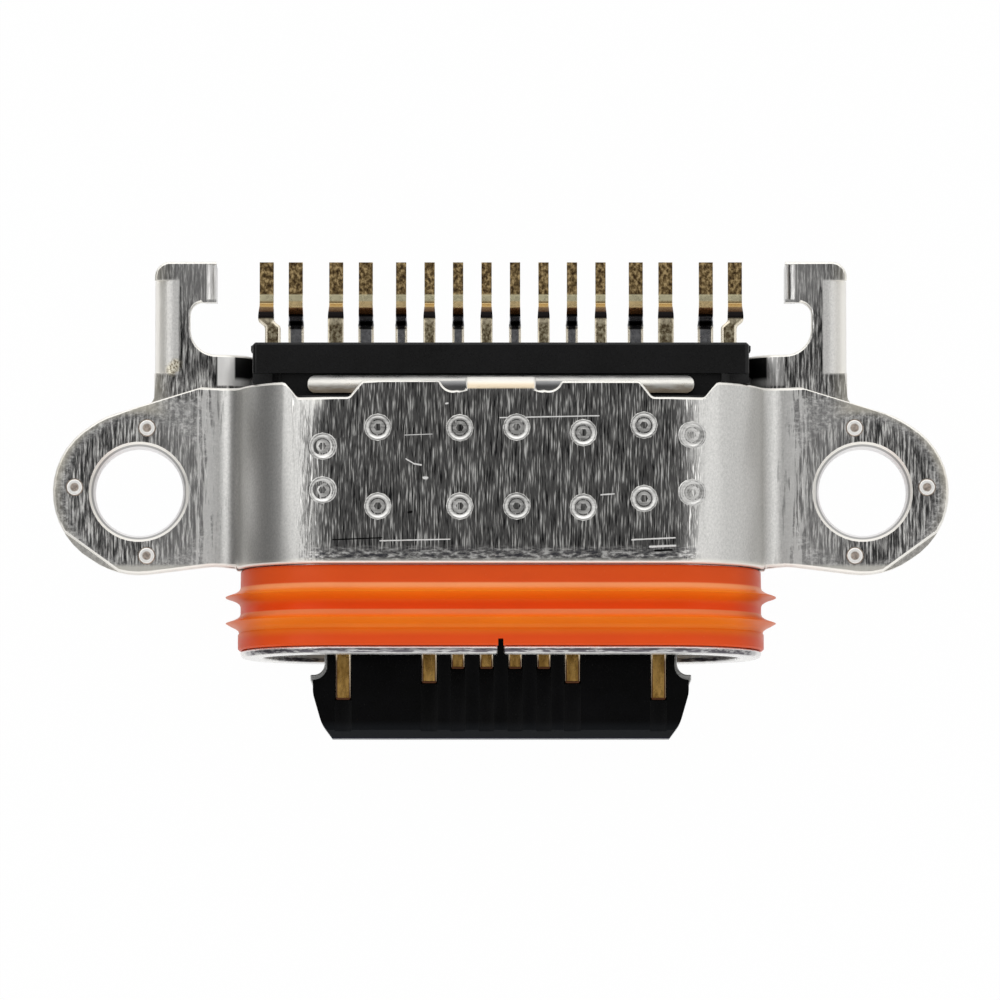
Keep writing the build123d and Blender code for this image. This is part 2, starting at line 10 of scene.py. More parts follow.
import bpy
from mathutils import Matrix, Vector


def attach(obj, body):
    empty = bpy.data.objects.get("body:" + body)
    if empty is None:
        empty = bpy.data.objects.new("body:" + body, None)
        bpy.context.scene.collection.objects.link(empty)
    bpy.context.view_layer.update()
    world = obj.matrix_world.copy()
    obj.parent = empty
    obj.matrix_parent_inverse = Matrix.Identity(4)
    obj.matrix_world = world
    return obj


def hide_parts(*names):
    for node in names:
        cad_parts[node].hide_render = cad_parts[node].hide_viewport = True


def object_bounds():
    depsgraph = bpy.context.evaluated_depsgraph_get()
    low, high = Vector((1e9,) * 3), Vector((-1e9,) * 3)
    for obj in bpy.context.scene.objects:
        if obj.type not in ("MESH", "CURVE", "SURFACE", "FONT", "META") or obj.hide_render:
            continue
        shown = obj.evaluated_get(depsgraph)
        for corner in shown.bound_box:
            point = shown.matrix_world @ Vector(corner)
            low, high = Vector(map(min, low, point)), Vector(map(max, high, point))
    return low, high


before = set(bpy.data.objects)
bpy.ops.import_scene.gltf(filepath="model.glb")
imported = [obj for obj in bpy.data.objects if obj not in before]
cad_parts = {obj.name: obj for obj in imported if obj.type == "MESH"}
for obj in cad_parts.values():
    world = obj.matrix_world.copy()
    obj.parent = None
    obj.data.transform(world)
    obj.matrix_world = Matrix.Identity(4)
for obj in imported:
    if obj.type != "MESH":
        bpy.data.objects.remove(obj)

log = logging.getLogger("charging_port")

MM = 0.001
BODY = "root"
CAD_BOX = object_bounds()
FLAT_HALF = 2.88
HOLE_X = 6.33
LIP_TIPS = (-1.85, -2.31)
Colour = tuple[float, float, float]
Point = tuple[float, float, float]
Socket = bpy.types.NodeSocket


class Slot(Enum):
    """The material slots."""

    BRACKET = "bracket_steel"
    SHELL = "shell_steel"
    STRAP = "strap_steel"
    INNER = "inner_steel"
    SEAL = "seal_silicone"
    INSULATOR = "black_insulator"
    POTTING = "potting"
    GOLD = "gold_plate"


class Row(Enum):
    """The two rows of contacts on the tongue."""

    UPPER = "upper"
    LOWER = "lower"


class Kind(Enum):
    """What edit mode selects."""

    CORNER = "VERT"
    EDGE = "EDGE"


def clear_selection() -> None:
    """Leaves edit mode and deselects every object."""
    if bpy.context.object is not None and bpy.context.object.mode != "OBJECT":
        bpy.ops.object.mode_set(mode="OBJECT")
    bpy.ops.object.select_all(action="DESELECT")


def pick(piece: bpy.types.Object) -> None:
    """Makes one object the only selected and active one.

    Args:
        piece: The object to work on.
    """
    clear_selection()
    piece.select_set(True)
    bpy.context.view_layer.objects.active = piece


def edit(piece: bpy.types.Object, kind: Kind = Kind.CORNER) -> None:
    """Opens one object in edit mode with all of its mesh selected.

    Args:
        piece: The object to edit.
        kind: What is selected.
    """
    pick(piece)
    bpy.ops.object.mode_set(mode="EDIT")
    bpy.ops.mesh.select_mode(type=kind.value)
    bpy.ops.mesh.select_all(action="SELECT")


def keep_selected(piece: bpy.types.Object, kind: Kind, test: Callable[[Vector], bool]) -> None:
    """Keeps only the selected corners or edges whose middle passes a test.

    Args:
        piece: The object, which is in edit mode.
        kind: Whether corners or edges are tested.
        test: Takes a middle in millimetres and says whether it stays selected.
    """
    bpy.ops.object.mode_set(mode="OBJECT")
    mesh = piece.data
    corners = mesh.vertices
    if kind is Kind.CORNER:
        middles = [(corner, corner.co) for corner in corners]
        others = (mesh.edges, mesh.polygons)
    else:
        ends = [[corners[index].co for index in edge.vertices] for edge in mesh.edges]
        middles = [(edge, (start + end) / 2) for edge, (start, end) in zip(mesh.edges, ends)]
        others = (corners, mesh.polygons)
    for element, middle in middles:
        element.select = element.select and test(middle / MM)
    for group in others:
        group.foreach_set("select", [False] * len(group))
    bpy.ops.object.mode_set(mode="EDIT")
    bpy.ops.mesh.select_mode(type=kind.value)


def apply_modifiers(piece: bpy.types.Object) -> None:
    """Applies every modifier of an object in order.

    Args:
        piece: The object whose modifiers become mesh.
    """
    pick(piece)
    for modifier in list(piece.modifiers):
        bpy.ops.object.modifier_apply(modifier=modifier.name)


def smooth(piece: bpy.types.Object, angle: float = 32.0) -> None:
    """Shades an object smooth, with a break at edges sharper than an angle in degrees."""
    pick(piece)
    bpy.ops.object.shade_smooth_by_angle(angle=math.radians(angle))


def dress(piece: bpy.types.Object, finish: bpy.types.Material, slot: Slot, *nodes: str) -> None:
    """Gives a finished piece its material, body and the CAD nodes that it stands for.

    Args:
        piece: The finished piece, with its place in its mesh.
        finish: Its material.
        slot: Not used.
        nodes: The CAD nodes that it replaces.
    """
    clear_selection()
    piece.data.materials.clear()
    piece.data.materials.append(finish)
    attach(piece, BODY)
    if nodes:
        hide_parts(*nodes)
    log.info("%s: %d faces", piece.name, len(piece.data.polygons))


def copy_node(node: str, name: str) -> bpy.types.Object:
    """Makes a clean, joined copy of a CAD node's mesh for finishing.

    Args:
        node: The CAD node.
        name: The new piece's name.

    Returns:
        The copy, with flat areas as single faces.
    """
    clear_selection()
    piece = bpy.data.objects.new(name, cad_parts[node].data.copy())
    bpy.context.scene.collection.objects.link(piece)
    pick(piece)
    bpy.ops.mesh.customdata_custom_splitnormals_clear()
    edit(piece)
    bpy.ops.mesh.remove_doubles(threshold=0.0002 * MM)
    bpy.ops.mesh.dissolve_limited(angle_limit=math.radians(0.6))
    bpy.ops.mesh.normals_make_consistent(inside=False)
    clear_selection()
    return piece


def round_edges(
    piece: bpy.types.Object,
    width: float,
    segments: int = 3,
    sharpness: float = 32.0,
    test: Callable[[Vector], bool] | None = None,
    clamp: bool = True,
) -> None:
    """Rounds an object's sharp edges with an applied bevel and shades it smooth.

    Args:
        piece: The object.
        width: The bevel's width in millimetres.
        segments: How many faces the round has.
        sharpness: The angle in degrees past which an edge is sharp.
        test: Takes an edge's middle in millimetres and says whether it is rounded.
        clamp: Whether short edges hold the whole round back.
    """
    edit(piece, Kind.EDGE)
    bpy.ops.mesh.select_all(action="DESELECT")
    bpy.ops.mesh.edges_select_sharp(sharpness=math.radians(sharpness))
    if test is not None:
        keep_selected(piece, Kind.EDGE, test)
    bpy.ops.transform.edge_bevelweight(value=1.0)
    clear_selection()
    pick(piece)
    bevel = piece.modifiers.new("Round edges", "BEVEL")
    bevel.limit_method = "WEIGHT"
    bevel.width = width * MM
    bevel.segments = segments
    bevel.use_clamp_overlap = clamp
    apply_modifiers(piece)
    smooth(piece)
    even = piece.modifiers.new("Even normals", "WEIGHTED_NORMAL")
    even.keep_sharp = True
    apply_modifiers(piece)


def draw_profile(name: str, points: Sequence[Point]) -> bpy.types.Object:
    """Draws an open line of edges by extruding one corner from point to point.

    Args:
        name: The new piece's name.
        points: The line's corners in millimetres.

    Returns:
        The new object, still in edit mode with the whole line selected.
    """
    clear_selection()
    bpy.ops.mesh.primitive_plane_add(size=MM, location=(0, 0, 0))
    piece = bpy.context.object
    piece.name = name
    piece.data.name = name
    edit(piece)
    bpy.ops.mesh.merge(type="CENTER")
    bpy.ops.mesh.select_all(action="SELECT")
    bpy.ops.transform.translate(value=Vector(points[0]) * MM)
    for last, point in zip(points, points[1:]):
        step = (Vector(point) - Vector(last)) * MM
        bpy.ops.mesh.extrude_vertices_move(TRANSFORM_OT_translate={"value": step})
    bpy.ops.mesh.select_all(action="SELECT")
    return piece


def close_mesh(
    piece: bpy.types.Object, distance: float = 0.0005, test: Callable[[Vector], bool] | None = None
) -> None:
    """Joins doubled corners, closes seams and turns all faces outwards.

    Args:
        piece: The object, in any mode.
        distance: How near two corners are, in millimetres, to become one.
        test: Takes a corner in millimetres and says whether it may be joined.
    """
    edit(piece)
    if test is not None:
        keep_selected(piece, Kind.CORNER, test)
    bpy.ops.mesh.remove_doubles(threshold=distance * MM)
    bpy.ops.mesh.select_all(action="SELECT")
    bpy.ops.mesh.normals_make_consistent(inside=False)
    clear_selection()


class Nodes:
    """A node tree, with short calls for the nodes that finishes and surroundings share."""

    def __init__(self, tree: bpy.types.NodeTree) -> None:
        """Takes the tree to fill."""
        self.tree = tree

    def add(self, kind: str) -> bpy.types.Node:
        """Adds a node of a kind."""
        return self.tree.nodes.new(kind)

    def plug(self, socket: Socket, value: object) -> None:
        """Links a node's output to a socket, or sets the socket to a plain value.

        Args:
            socket: The input socket.
            value: An output socket, a number, or a colour or vector.
        """
        if isinstance(value, Socket):
            self.tree.links.new(value, socket)
        elif isinstance(value, tuple) and len(value) == 3 and socket.type == "RGBA":
            socket.default_value = (*value, 1.0)
        else:
            socket.default_value = value

    def maths(self, operation: str, first: object, second: object = 0.0) -> Socket:
        """One step of arithmetic.

        Args:
            operation: The operation's name, such as ADD.
            first: The first value.
            second: The second value.

        Returns:
            The result.
        """
        node = self.add("ShaderNodeMath")
        node.operation = operation
        self.plug(node.inputs[0], first)
        self.plug(node.inputs[1], second)
        return node.outputs[0]

    def times(self, *values: object) -> Socket:
        """The product of some values."""
        return reduce(lambda first, second: self.maths("MULTIPLY", first, second), values)

    def most(self, *values: object) -> Socket:
        """The largest of some values."""
        return reduce(lambda first, second: self.maths("MAXIMUM", first, second), values)

    def rest(self, value: object) -> Socket:
        """What a value leaves of 1."""
        return self.maths("SUBTRACT", 1.0, value)

    def span(self, value: object, low: float, high: float, start: float = 0.0, end: float = 1.0) -> Socket:
        """A value eased from one range into another.

        Args:
            value: The value.
            low: Where the result starts to change.
            high: Where it stops.
            start: The result below low.
            end: The result above high.

        Returns:
            The eased value.
        """
        node = self.add("ShaderNodeMapRange")
        node.interpolation_type = "SMOOTHSTEP"
        for socket, number in zip(node.inputs[1:5], (low, high, start, end)):
            socket.default_value = number
        self.plug(node.inputs[0], value)
        return node.outputs[0]

    def fade(self, value: object, low: float, high: float, start: float = 1.0) -> Socket:
        """A value eased down to 0 between two places."""
        return self.span(value, low, high, start, 0.0)

    def window(self, value: object, rise: float, top: float, fall: float, end: float) -> Socket:
        """A mask that rises between two places and falls between two others."""
        return self.times(self.span(value, rise, top), self.fade(value, fall, end))

    def seen_directly(self) -> Socket:
        """1 for camera, glossy and transmission rays, 0 for all others."""
        path = self.add("ShaderNodeLightPath").outputs
        return self.most(path["Is Camera Ray"], path["Is Glossy Ray"], path["Is Transmission Ray"])


class Finish(Nodes):
    """A material on Object coordinates, with short calls for its patterns."""

    def __init__(self, name: str) -> None:
        """Starts a material with a principled shader.

        Args:
            name: The material's name.
        """
        self.material = bpy.data.materials.new(name)
        self.material.use_nodes = True
        super().__init__(self.material.node_tree)
        self.tree.nodes.clear()
        self.output = self.add("ShaderNodeOutputMaterial")
        self.shader = self.add("ShaderNodeBsdfPrincipled")
        self.plug(self.output.inputs[0], self.shader.outputs[0])
        self.object_place = self.add("ShaderNodeTexCoord").outputs["Object"]

    def set(self, name: str, value: object) -> None:
        """Sets or links one of the shader's sockets."""
        self.plug(self.shader.inputs[name], value)

    def stretch(self, x: float, y: float, z: float) -> Socket:
        """The place on the piece, scaled to repeats per millimetre.

        Args:
            x: Repeats along X.
            y: Repeats along Y.
            z: Repeats along Z.

        Returns:
            The scaled place.
        """
        mapping = self.add("ShaderNodeMapping")
        mapping.inputs["Scale"].default_value = (x / MM, y / MM, z / MM)
        self.plug(mapping.inputs["Vector"], self.object_place)
        return mapping.outputs[0]

    def noise(self, repeats: Point, detail: float = 4.0, roughness: float = 0.6) -> Socket:
        """A noise value from 0 to 1.

        Args:
            repeats: Its repeats per millimetre along X, Y and Z.
            detail: How many finer layers it has.
            roughness: How strong the finer layers are.

        Returns:
            The noise value.
        """
        node = self.add("ShaderNodeTexNoise")
        node.inputs["Scale"].default_value = 1.0
        node.inputs["Detail"].default_value = detail
        node.inputs["Roughness"].default_value = roughness
        self.plug(node.inputs["Vector"], self.stretch(*repeats))
        return node.outputs["Fac"]

    def ramp(self, value: Socket, *stops: tuple[float, Colour]) -> Socket:
        """A colour that follows a value through stops.

        Args:
            value: The value from 0 to 1.
            stops: Positions with their colours.

        Returns:
            The colour.
        """
        node = self.add("ShaderNodeValToRGB")
        elements = node.color_ramp.elements
        while len(elements) < len(stops):
            elements.new(1.0)
        for element, (position, colour) in zip(elements, stops):
            element.position = position
            element.color = (*colour, 1.0)
        self.plug(node.inputs[0], value)
        return node.outputs[0]

    def mix(self, factor: object, first: object, second: object) -> Socket:
        """A colour between two others.

        Args:
            factor: 0 for the first colour, 1 for the second.
            first: The first colour.
            second: The second colour.

        Returns:
            The mixed colour.
        """
        node = self.add("ShaderNodeMix")
        node.data_type = "RGBA"
        self.plug(node.inputs[0], factor)
        self.plug(node.inputs[6], first)
        self.plug(node.inputs[7], second)
        return node.outputs[2]

    def coats(self, colour: object, *layers: tuple[object, object]) -> Socket:
        """Lays colours over another one, each with its mask, in order."""
        return reduce(lambda below, layer: self.mix(layer[0], below, layer[1]), layers, colour)

    def axis(self, vector: Socket, letter: str) -> Socket:
        """One part of a vector.

        Args:
            vector: The vector.
            letter: The part's letter.

        Returns:
            The part's value.
        """
        node = self.add("ShaderNodeSeparateXYZ")
        self.plug(node.inputs[0], vector)
        return node.outputs[letter]

    def place(self, letter: str) -> Socket:
        """A coordinate of the surface in millimetres, by its letter."""
        return self.axis(self.stretch(1, 1, 1), letter)

    def side(self) -> Socket:
        """Distance from the middle plane in millimetres."""
        return self.maths("ABSOLUTE", self.place("X"))

    def facing(self, letter: str) -> Socket:
        """How far the surface faces along an axis either way, from 0 to 1."""
        normal = self.add("ShaderNodeNewGeometry").outputs["Normal"]
        return self.maths("ABSOLUTE", self.axis(normal, letter))

    def point(self, operation: str, first: object, second: object) -> bpy.types.Node:
        """One step of vector arithmetic, as a node.

        Args:
            operation: The operation's name, such as SUBTRACT.
            first: The first vector.
            second: The second vector, or a number where the operation scales.

        Returns:
            The node.
        """
        node = self.add("ShaderNodeVectorMath")
        node.operation = operation
        self.plug(node.inputs[0], first)
        self.plug(node.inputs["Scale" if operation == "SCALE" else 1], second)
        return node

    def scratch(self, start: tuple[float, float], end: tuple[float, float], width: float) -> Socket:
        """A thin mark between two points of the plan, a little uneven along its length.

        Args:
            start: X and Y of its start in millimetres.
            end: X and Y of its end in millimetres.
            width: Its half width in millimetres.

        Returns:
            1 on the mark, 0 beside it.
        """
        run = Vector((end[0] - start[0], end[1] - start[1], 0))
        across = self.point("SUBTRACT", self.stretch(1, 1, 0), (*start, 0)).outputs[0]
        reach = self.point("DOT_PRODUCT", across, tuple(run)).outputs["Value"]
        share = self.add("ShaderNodeClamp")
        self.plug(share.inputs[0], self.maths("DIVIDE", reach, run.length_squared))
        nearest = self.point("SCALE", tuple(run), share.outputs[0]).outputs[0]
        gap = self.point("LENGTH", self.point("SUBTRACT", across, nearest).outputs[0], (0, 0, 0))
        uneven = self.times(self.noise((14, 30, 14), 2, 0.55), width)
        return self.fade(self.maths("SUBTRACT", gap.outputs["Value"], uneven), 0.0, width)

    def surface(self, colour: object, metal: object, roughness: object, relief: Socket, depth: float,
                strength: float) -> None:
        """Sets the shader's colour, metal, roughness and relief.

        Args:
            colour: The base colour.
            metal: How metallic it is, from 0 to 1.
            roughness: Its roughness.
            relief: The relief's height from 0 to 1.
            depth: The relief's depth in millimetres.
            strength: How strongly the relief tilts the surface.
        """
        self.set("Base Color", colour)
        self.set("Metallic", metal)
        self.set("Roughness", roughness)
        node = self.add("ShaderNodeBump")
        node.inputs["Distance"].default_value = depth * MM
        node.inputs["Strength"].default_value = strength
        self.plug(node.inputs["Height"], relief)
        self.set("Normal", node.outputs[0])

    def blend(self, factor: Socket, first: Socket, second: Socket) -> None:
        """Makes a blend of two shaders the material's surface.

        Args:
            factor: 0 for the first shader, 1 for the second.
            first: The first shader.
            second: The second shader.
        """
        node = self.add("ShaderNodeMixShader")
        for socket, value in zip(node.inputs, (factor, first, second)):
            self.plug(socket, value)
        self.plug(self.output.inputs[0], node.outputs[0])


class BrushedSheet(Finish):
    """Brushed stainless sheet: grooves along Y on its flats, satin in its bends, painted highlights on its
    rolled rims and painted shade in its folds.
    """

    groove: Colour = (0.02, 0.02, 0.021)
    steel: Colour = (0.135, 0.133, 0.13)
    bright_steel: Colour = (0.4396, 0.4346, 0.4208)
    crest: Colour = (0.92, 0.91, 0.88)
    ear_groove: Colour = (0.05, 0.05, 0.05)
    ear_steel: Colour = (0.235, 0.23, 0.225)
    even: Colour = (0.62, 0.61, 0.60)
    # Painted highlight colour of the cut edges.
    rim: Colour = (0.97, 0.945, 0.885)
    arch_level: float = 1.35
    arch_front: float = -1.36
    arch_rear: float = 1.95
    bend_start: float = 5.1
    leg_inner: float = 4.67
    hook_bend: float = 5.18
    hook_front: float = 3.2
    hole_edge: float = 0.80
    bright_marks: tuple[tuple[float, ...], ...] = (
        (-1.641, 0.447, -1.50, 0.365, 0.010), (-1.50, 0.365, -1.382, 0.343, 0.014),
        (-1.33, 0.12, -1.28, 0.115, 0.024), (-1.66, 0.862, -1.19, 0.88, 0.006),
        (-2.09, -0.973, -0.88, -0.947, 0.010), (-0.014, 1.165, 1.70, 1.198, 0.010),
        (1.735, -0.177, 1.96, -0.159, 0.012), (2.27, -0.956, 3.016, -0.921, 0.012),
        (2.583, -1.077, 3.016, -1.06, 0.018), (-0.95, 1.41, -0.92, 1.416, 0.014),
    )
    dark_marks: tuple[tuple[float, ...], ...] = (
        (-2.905, -0.956, -2.057, -0.921, 0.012), (2.67, -1.146, 2.96, -1.13, 0.018),
        (-1.60, -0.48, -1.55, -0.47, 0.02),
    )
    scuff: tuple[float, ...] = (-5.78, 2.17, -5.70, 2.25, 0.10)

    def __init__(self) -> None:
        """Finds where each point of the sheet lies, then lays the finish."""
        super().__init__("Brushed bracket steel")
        self.out = self.side()
        self.along = self.place("Y")
        self.level = self.place("Z")
        self.on_arch = self.span(self.level, self.arch_level, self.arch_level + 0.2)
        self.on_leg = self.span(self.along, self.arch_rear, self.arch_rear + 0.1)
        self.polished = self.most(self.on_arch, self.on_leg)
        self.on_hook = self.span(self.along, self.hook_front, self.hook_front + 0.1)
        self.hook_end = self.times(self.fade(self.out, self.hook_bend, self.hook_bend + 0.04), self.on_hook)
        across = self.maths("SUBTRACT", self.out, HOLE_X)
        squares = self.maths("ADD", self.times(across, across), self.times(self.along, self.along))
        self.from_hole = self.maths("SQRT", squares)
        patches = self.span(self.noise((5, 1.2, 5), 3, 0.55), 0.3, 0.7, -0.035, 0.035)
        self.streaks = self.maths("ADD", self.noise((38, 2.5, 38), 2, 0.62), patches)
        self.broken = self.noise((26, 2.3, 26), 4, 0.68)
        self.grain = self.noise((30, 22, 30), 4, 0.7)
        self.lay()

    def marks(self, lines: Sequence[tuple[float, ...]]) -> Socket:
        """The mask of the arch's scratches, each given by its start, its end and its half width."""
        masks = [self.scratch(line[:2], line[2:4], line[4]) for line in lines]
        return self.times(self.most(*masks), self.on_arch)

    def ear_pattern(self) -> Socket:
        """The ears' and legs' broken brushing, smeared towards the ears' outer edges and lighter on the inner
        sides.

        Returns:
            The colour.
        """
        smear = self.ramp(
            self.noise((12, 15, 12), 4, 0.7), (0.36, (0.10, 0.10, 0.10)), (0.5, (0.36, 0.355, 0.35)),
            (0.62, (0.85, 0.84, 0.82)),
        )
        outer = self.times(self.span(self.from_hole, 1.18, 1.36, 0.0, 0.7), self.fade(self.along, 1.6, 1.8))
        inner = self.times(self.fade(self.out, 5.7, 6.3, 0.3), self.fade(self.along, 1.5, 1.7))
        leg_end = self.times(
            self.span(self.along, 3.1, 3.5, 0.0, 0.4), self.span(self.out, 5.5, 5.9, 1.0, 0.4)
        )
        lines = self.ramp(self.broken, (0.41, self.ear_groove), (0.51, self.ear_steel), (0.63, self.crest))
        return self.coats(lines, (outer, smear), (inner, self.even), (leg_end, self.even))

    def flats(self, ears: Socket, bright: Socket) -> Socket:
        """The flat faces: fine brushing on the arch's top with its worn front strip and scratches.

        Args:
            ears: The ears' pattern.
            bright: The bright scratches' mask.

        Returns:
            The colour.
        """
        arch = self.ramp(
            self.streaks, (0.35, self.groove), (0.43, self.steel), (0.525, self.steel),
            (0.605, self.bright_steel), (0.675, self.crest),
        )
        strip = self.ramp(
            self.noise((7, 20, 7), 4, 0.65), (0.38, (0.08, 0.08, 0.09)), (0.5, (0.26, 0.255, 0.25)),
            (0.62, (0.85, 0.84, 0.82)),
        )
        front = self.arch_front
        in_front = self.times(self.fade(self.along, front + 0.16, front + 0.34), self.on_arch)
        return self.coats(
            ears, (self.on_arch, arch), (in_front, strip), (bright, (0.95, 0.94, 0.92)),
            (self.marks(self.dark_marks), (0.01, 0.01, 0.01)),
        )

    def bends(self, long_lines: Socket) -> Socket:
        """The satin bends, with a painted highlight on their outer, lower part and dark hairs where they run
        out into the ears.

        Args:
            long_lines: The noise of the long lines beside the bends.

        Returns:
            The colour.
        """
        satin = self.ramp(
            self.grain, (0.32, (0.51, 0.505, 0.49)), (0.50, (0.595, 0.59, 0.57)), (0.68, (0.68, 0.67, 0.65))
        )
        hairs = self.times(
            self.span(long_lines, 0.56, 0.64), self.span(self.out, 4.65, 4.95),
            self.fade(self.out, 5.5, 5.7, 0.5), self.rest(self.polished),
        )
        low_bend_highlight = self.span(self.out, 4.85, 5.15, 0.0, 0.4)
        return self.coats(satin, (low_bend_highlight, (0.88, 0.87, 0.85)), (hairs, (0.06, 0.06, 0.06)))

    def flatness(self, long_lines: Socket) -> Socket:
        """Where the brushing shows: level faces, hook ends and leg roots, with ragged ends at the bends.

        Args:
            long_lines: The noise of the long lines beside the bends.

        Returns:
            1 on brushed faces, 0 on satin ones.
        """
        ragged = self.maths("ADD", self.out, self.span(long_lines, 0.35, 0.65, -0.22, 0.22))
        near_bend = self.fade(ragged, self.bend_start + 0.02, self.bend_start + 0.22, 0.85)
        near_bend = self.times(near_bend, self.rest(self.polished))
        worn = self.maths("ADD", self.facing("Z"), self.span(self.streaks, 0.4, 0.6, -0.018, 0.018))
        flat = self.times(self.span(worn, 0.935, 0.981), self.rest(near_bend))
        leg_root = self.times(
            self.fade(self.level, 0.03, 0.06), self.span(self.along, 1.6, 1.7), self.span(self.out, 4.6, 4.7)
        )
        return self.most(flat, self.hook_end, leg_root)

    def fold_shade_lines(self) -> Socket:
        """The painted shade lines of the legs' folds, along the hook ends, the flanges and the stripes.

        Returns:
            1 on a line, 0 beside it.
        """
        found = [self.times(self.window(self.out, 5.165, 5.18, 5.185, 5.20), self.on_hook)]
        broken = self.span(self.broken, 0.38, 0.5, 1.0, 0.3)
        for near, far, start, end in ((5.60, 5.635, 2.1, 3.6), (5.0, 5.03, 1.85, 2.55)):
            width = self.window(self.out, near - 0.015, near, far, far + 0.015)
            length = self.window(self.along, start, start + 0.05, end, end + 0.05)
            found.append(self.times(width, length, broken))
        return self.most(*found)

    def rim_highlights(self) -> Socket:
        """The painted highlights on the cut edges: all that face along Y, and the ears' outlines, but not
        what is bent down.

        Returns:
            1 on a cut edge, where the highlight is painted, 0 elsewhere.
        """
        on_ear = self.span(self.out, self.bend_start, self.bend_start + 0.1)
        ear_rim_highlight = self.times(self.fade(self.facing("Z"), 0.55, 0.97), on_ear)
        bent_down = self.times(self.fade(self.level, -0.35, -0.25), self.span(self.out, 4.9, 5.0))
        return self.times(self.most(self.span(self.facing("Y"), 0.12, 0.3), ear_rim_highlight), self.rest(bent_down))

    def leg_coats(self, flange: Socket, stripe: Socket) -> list[tuple[Socket, object]]:
        """The legs' pale bands, scuff, painted shade at the root under the arch and painted shade lines in
        the folds, as coats.

        Args:
            flange: The bent outer flanges' mask.
            stripe: The mask of the stripes beside the housing.

        Returns:
            A mask and a colour for each.
        """
        pale = self.ramp(
            self.grain, (0.32, (0.56, 0.555, 0.54)), (0.50, (0.66, 0.65, 0.63)), (0.68, (0.76, 0.75, 0.73))
        )
        scuff = self.times(self.scratch(self.scuff[:2], self.scuff[2:4], self.scuff[4]), self.on_leg)
        scuffed = self.ramp(self.grain, (0.42, (0.20, 0.16, 0.09)), (0.56, (0.85, 0.80, 0.66)))
        # Painted shade on the leg roots under the arch.
        shade_under_arch = self.times(
            self.fade(self.out, self.leg_inner - 0.02, self.leg_inner + 0.01), self.on_leg,
            self.fade(self.level, 0.02, 0.04),
        )
        return [
            (flange, pale), (scuff, scuffed), (stripe, (0.93, 0.92, 0.90)),
            (shade_under_arch, (0.006, 0.006, 0.006)), (self.fold_shade_lines(), (0.02, 0.02, 0.02)),
        ]

    def edge_coats(self, ears: Socket, rim_highlights: Socket) -> list[tuple[Socket, object]]:
        """The second ear layer, the lighter hook ends, painted highlights on the ears' outlines, the cut
        edges, the stop tab and the holes' bores, and a painted shade ring round each hole's edge, as coats.

        Args:
            ears: The ears' pattern.
            rim_highlights: The mask of the cut edges' painted highlights.

        Returns:
            A mask and a colour for each.
        """
        second_layer = self.times(
            self.fade(self.level, 0.05, 0.1), self.span(self.out, 5.6, 5.7), self.fade(self.along, 1.2, 1.4)
        )
        # Painted highlight on the ears' outlines, stronger towards the rear.
        rolled_rim_highlight = self.times(
            self.span(self.from_hole, 1.30, 1.48, 0.0, 0.8), self.span(self.out, 5.7, 6.3),
            self.span(self.along, -0.6, 0.6, 0.35, 1.0),
        )
        # Painted highlight on the bent stop tab.
        tab_highlight = self.times(
            self.fade(self.out, 0.575, 0.59), self.span(self.along, 1.66, 1.69), self.on_arch,
            self.fade(self.along, 1.72, 1.84, 0.9),
        )
        at_hole = self.span(self.out, 5.5, 5.52)
        edge = self.hole_edge
        # Painted highlight in each hole's bore, and a painted shade ring round its edge.
        bore_highlight = self.times(self.fade(self.from_hole, edge, edge + 0.04), at_hole)
        ring = self.window(self.from_hole, edge - 0.005, edge + 0.005, edge + 0.03, edge + 0.04)
        return [
            (second_layer, self.mix(0.55, ears, (0.70, 0.69, 0.67))), (rolled_rim_highlight, (0.72, 0.68, 0.58)),
            (self.times(self.hook_end, 0.4), (0.80, 0.79, 0.77)), (rim_highlights, self.rim), (tab_highlight, (0.80, 0.66, 0.46)),
            (bore_highlight, (0.86, 0.85, 0.85)), (self.times(ring, at_hole), (0.42, 0.415, 0.41)),
        ]

    def lay(self) -> None:
        """Puts the zones together."""
        long_lines = self.noise((15, 1.1, 15), 3, 0.6)
        ears = self.ear_pattern()
        bright = self.marks(self.bright_marks)
        flat = self.flatness(long_lines)
        rim_highlights = self.rim_highlights()
        flange = self.times(self.span(self.out, 5.62, 5.67), self.window(self.along, 2.05, 2.12, 3.72, 3.78))
        stripe = self.times(
            self.fade(self.out, 4.95, 4.99), self.window(self.along, 1.86, 1.9, 2.6, 2.7),
            self.span(self.place("X"), -0.1, 0.1, 1.0, 0.35),
        )
        # Painted highlight along the arch's front edge.
        front_edge_highlight = self.fade(self.along, self.arch_front + 0.03, self.arch_front + 0.11, 0.9)
        colour = self.coats(
            self.bends(long_lines), (flat, self.flats(ears, bright)), (front_edge_highlight, (0.80, 0.78, 0.72)),
            *self.leg_coats(flange, stripe), *self.edge_coats(ears, rim_highlights),
        )
        rough_flat = self.span(self.polished, 0.0, 1.0, 0.36, 0.28)
        rough = self.maths("ADD", self.times(flat, rough_flat), self.times(self.rest(flat), 0.42))
        relief = self.maths("ADD", self.times(self.streaks, flat), self.times(self.grain, 0.15))
        metal = self.span(self.most(rim_highlights, flange, stripe, bright), 0.0, 1.0, 1.0, 0.3)
        self.surface(colour, metal, rough, relief, 0.008, 0.45)


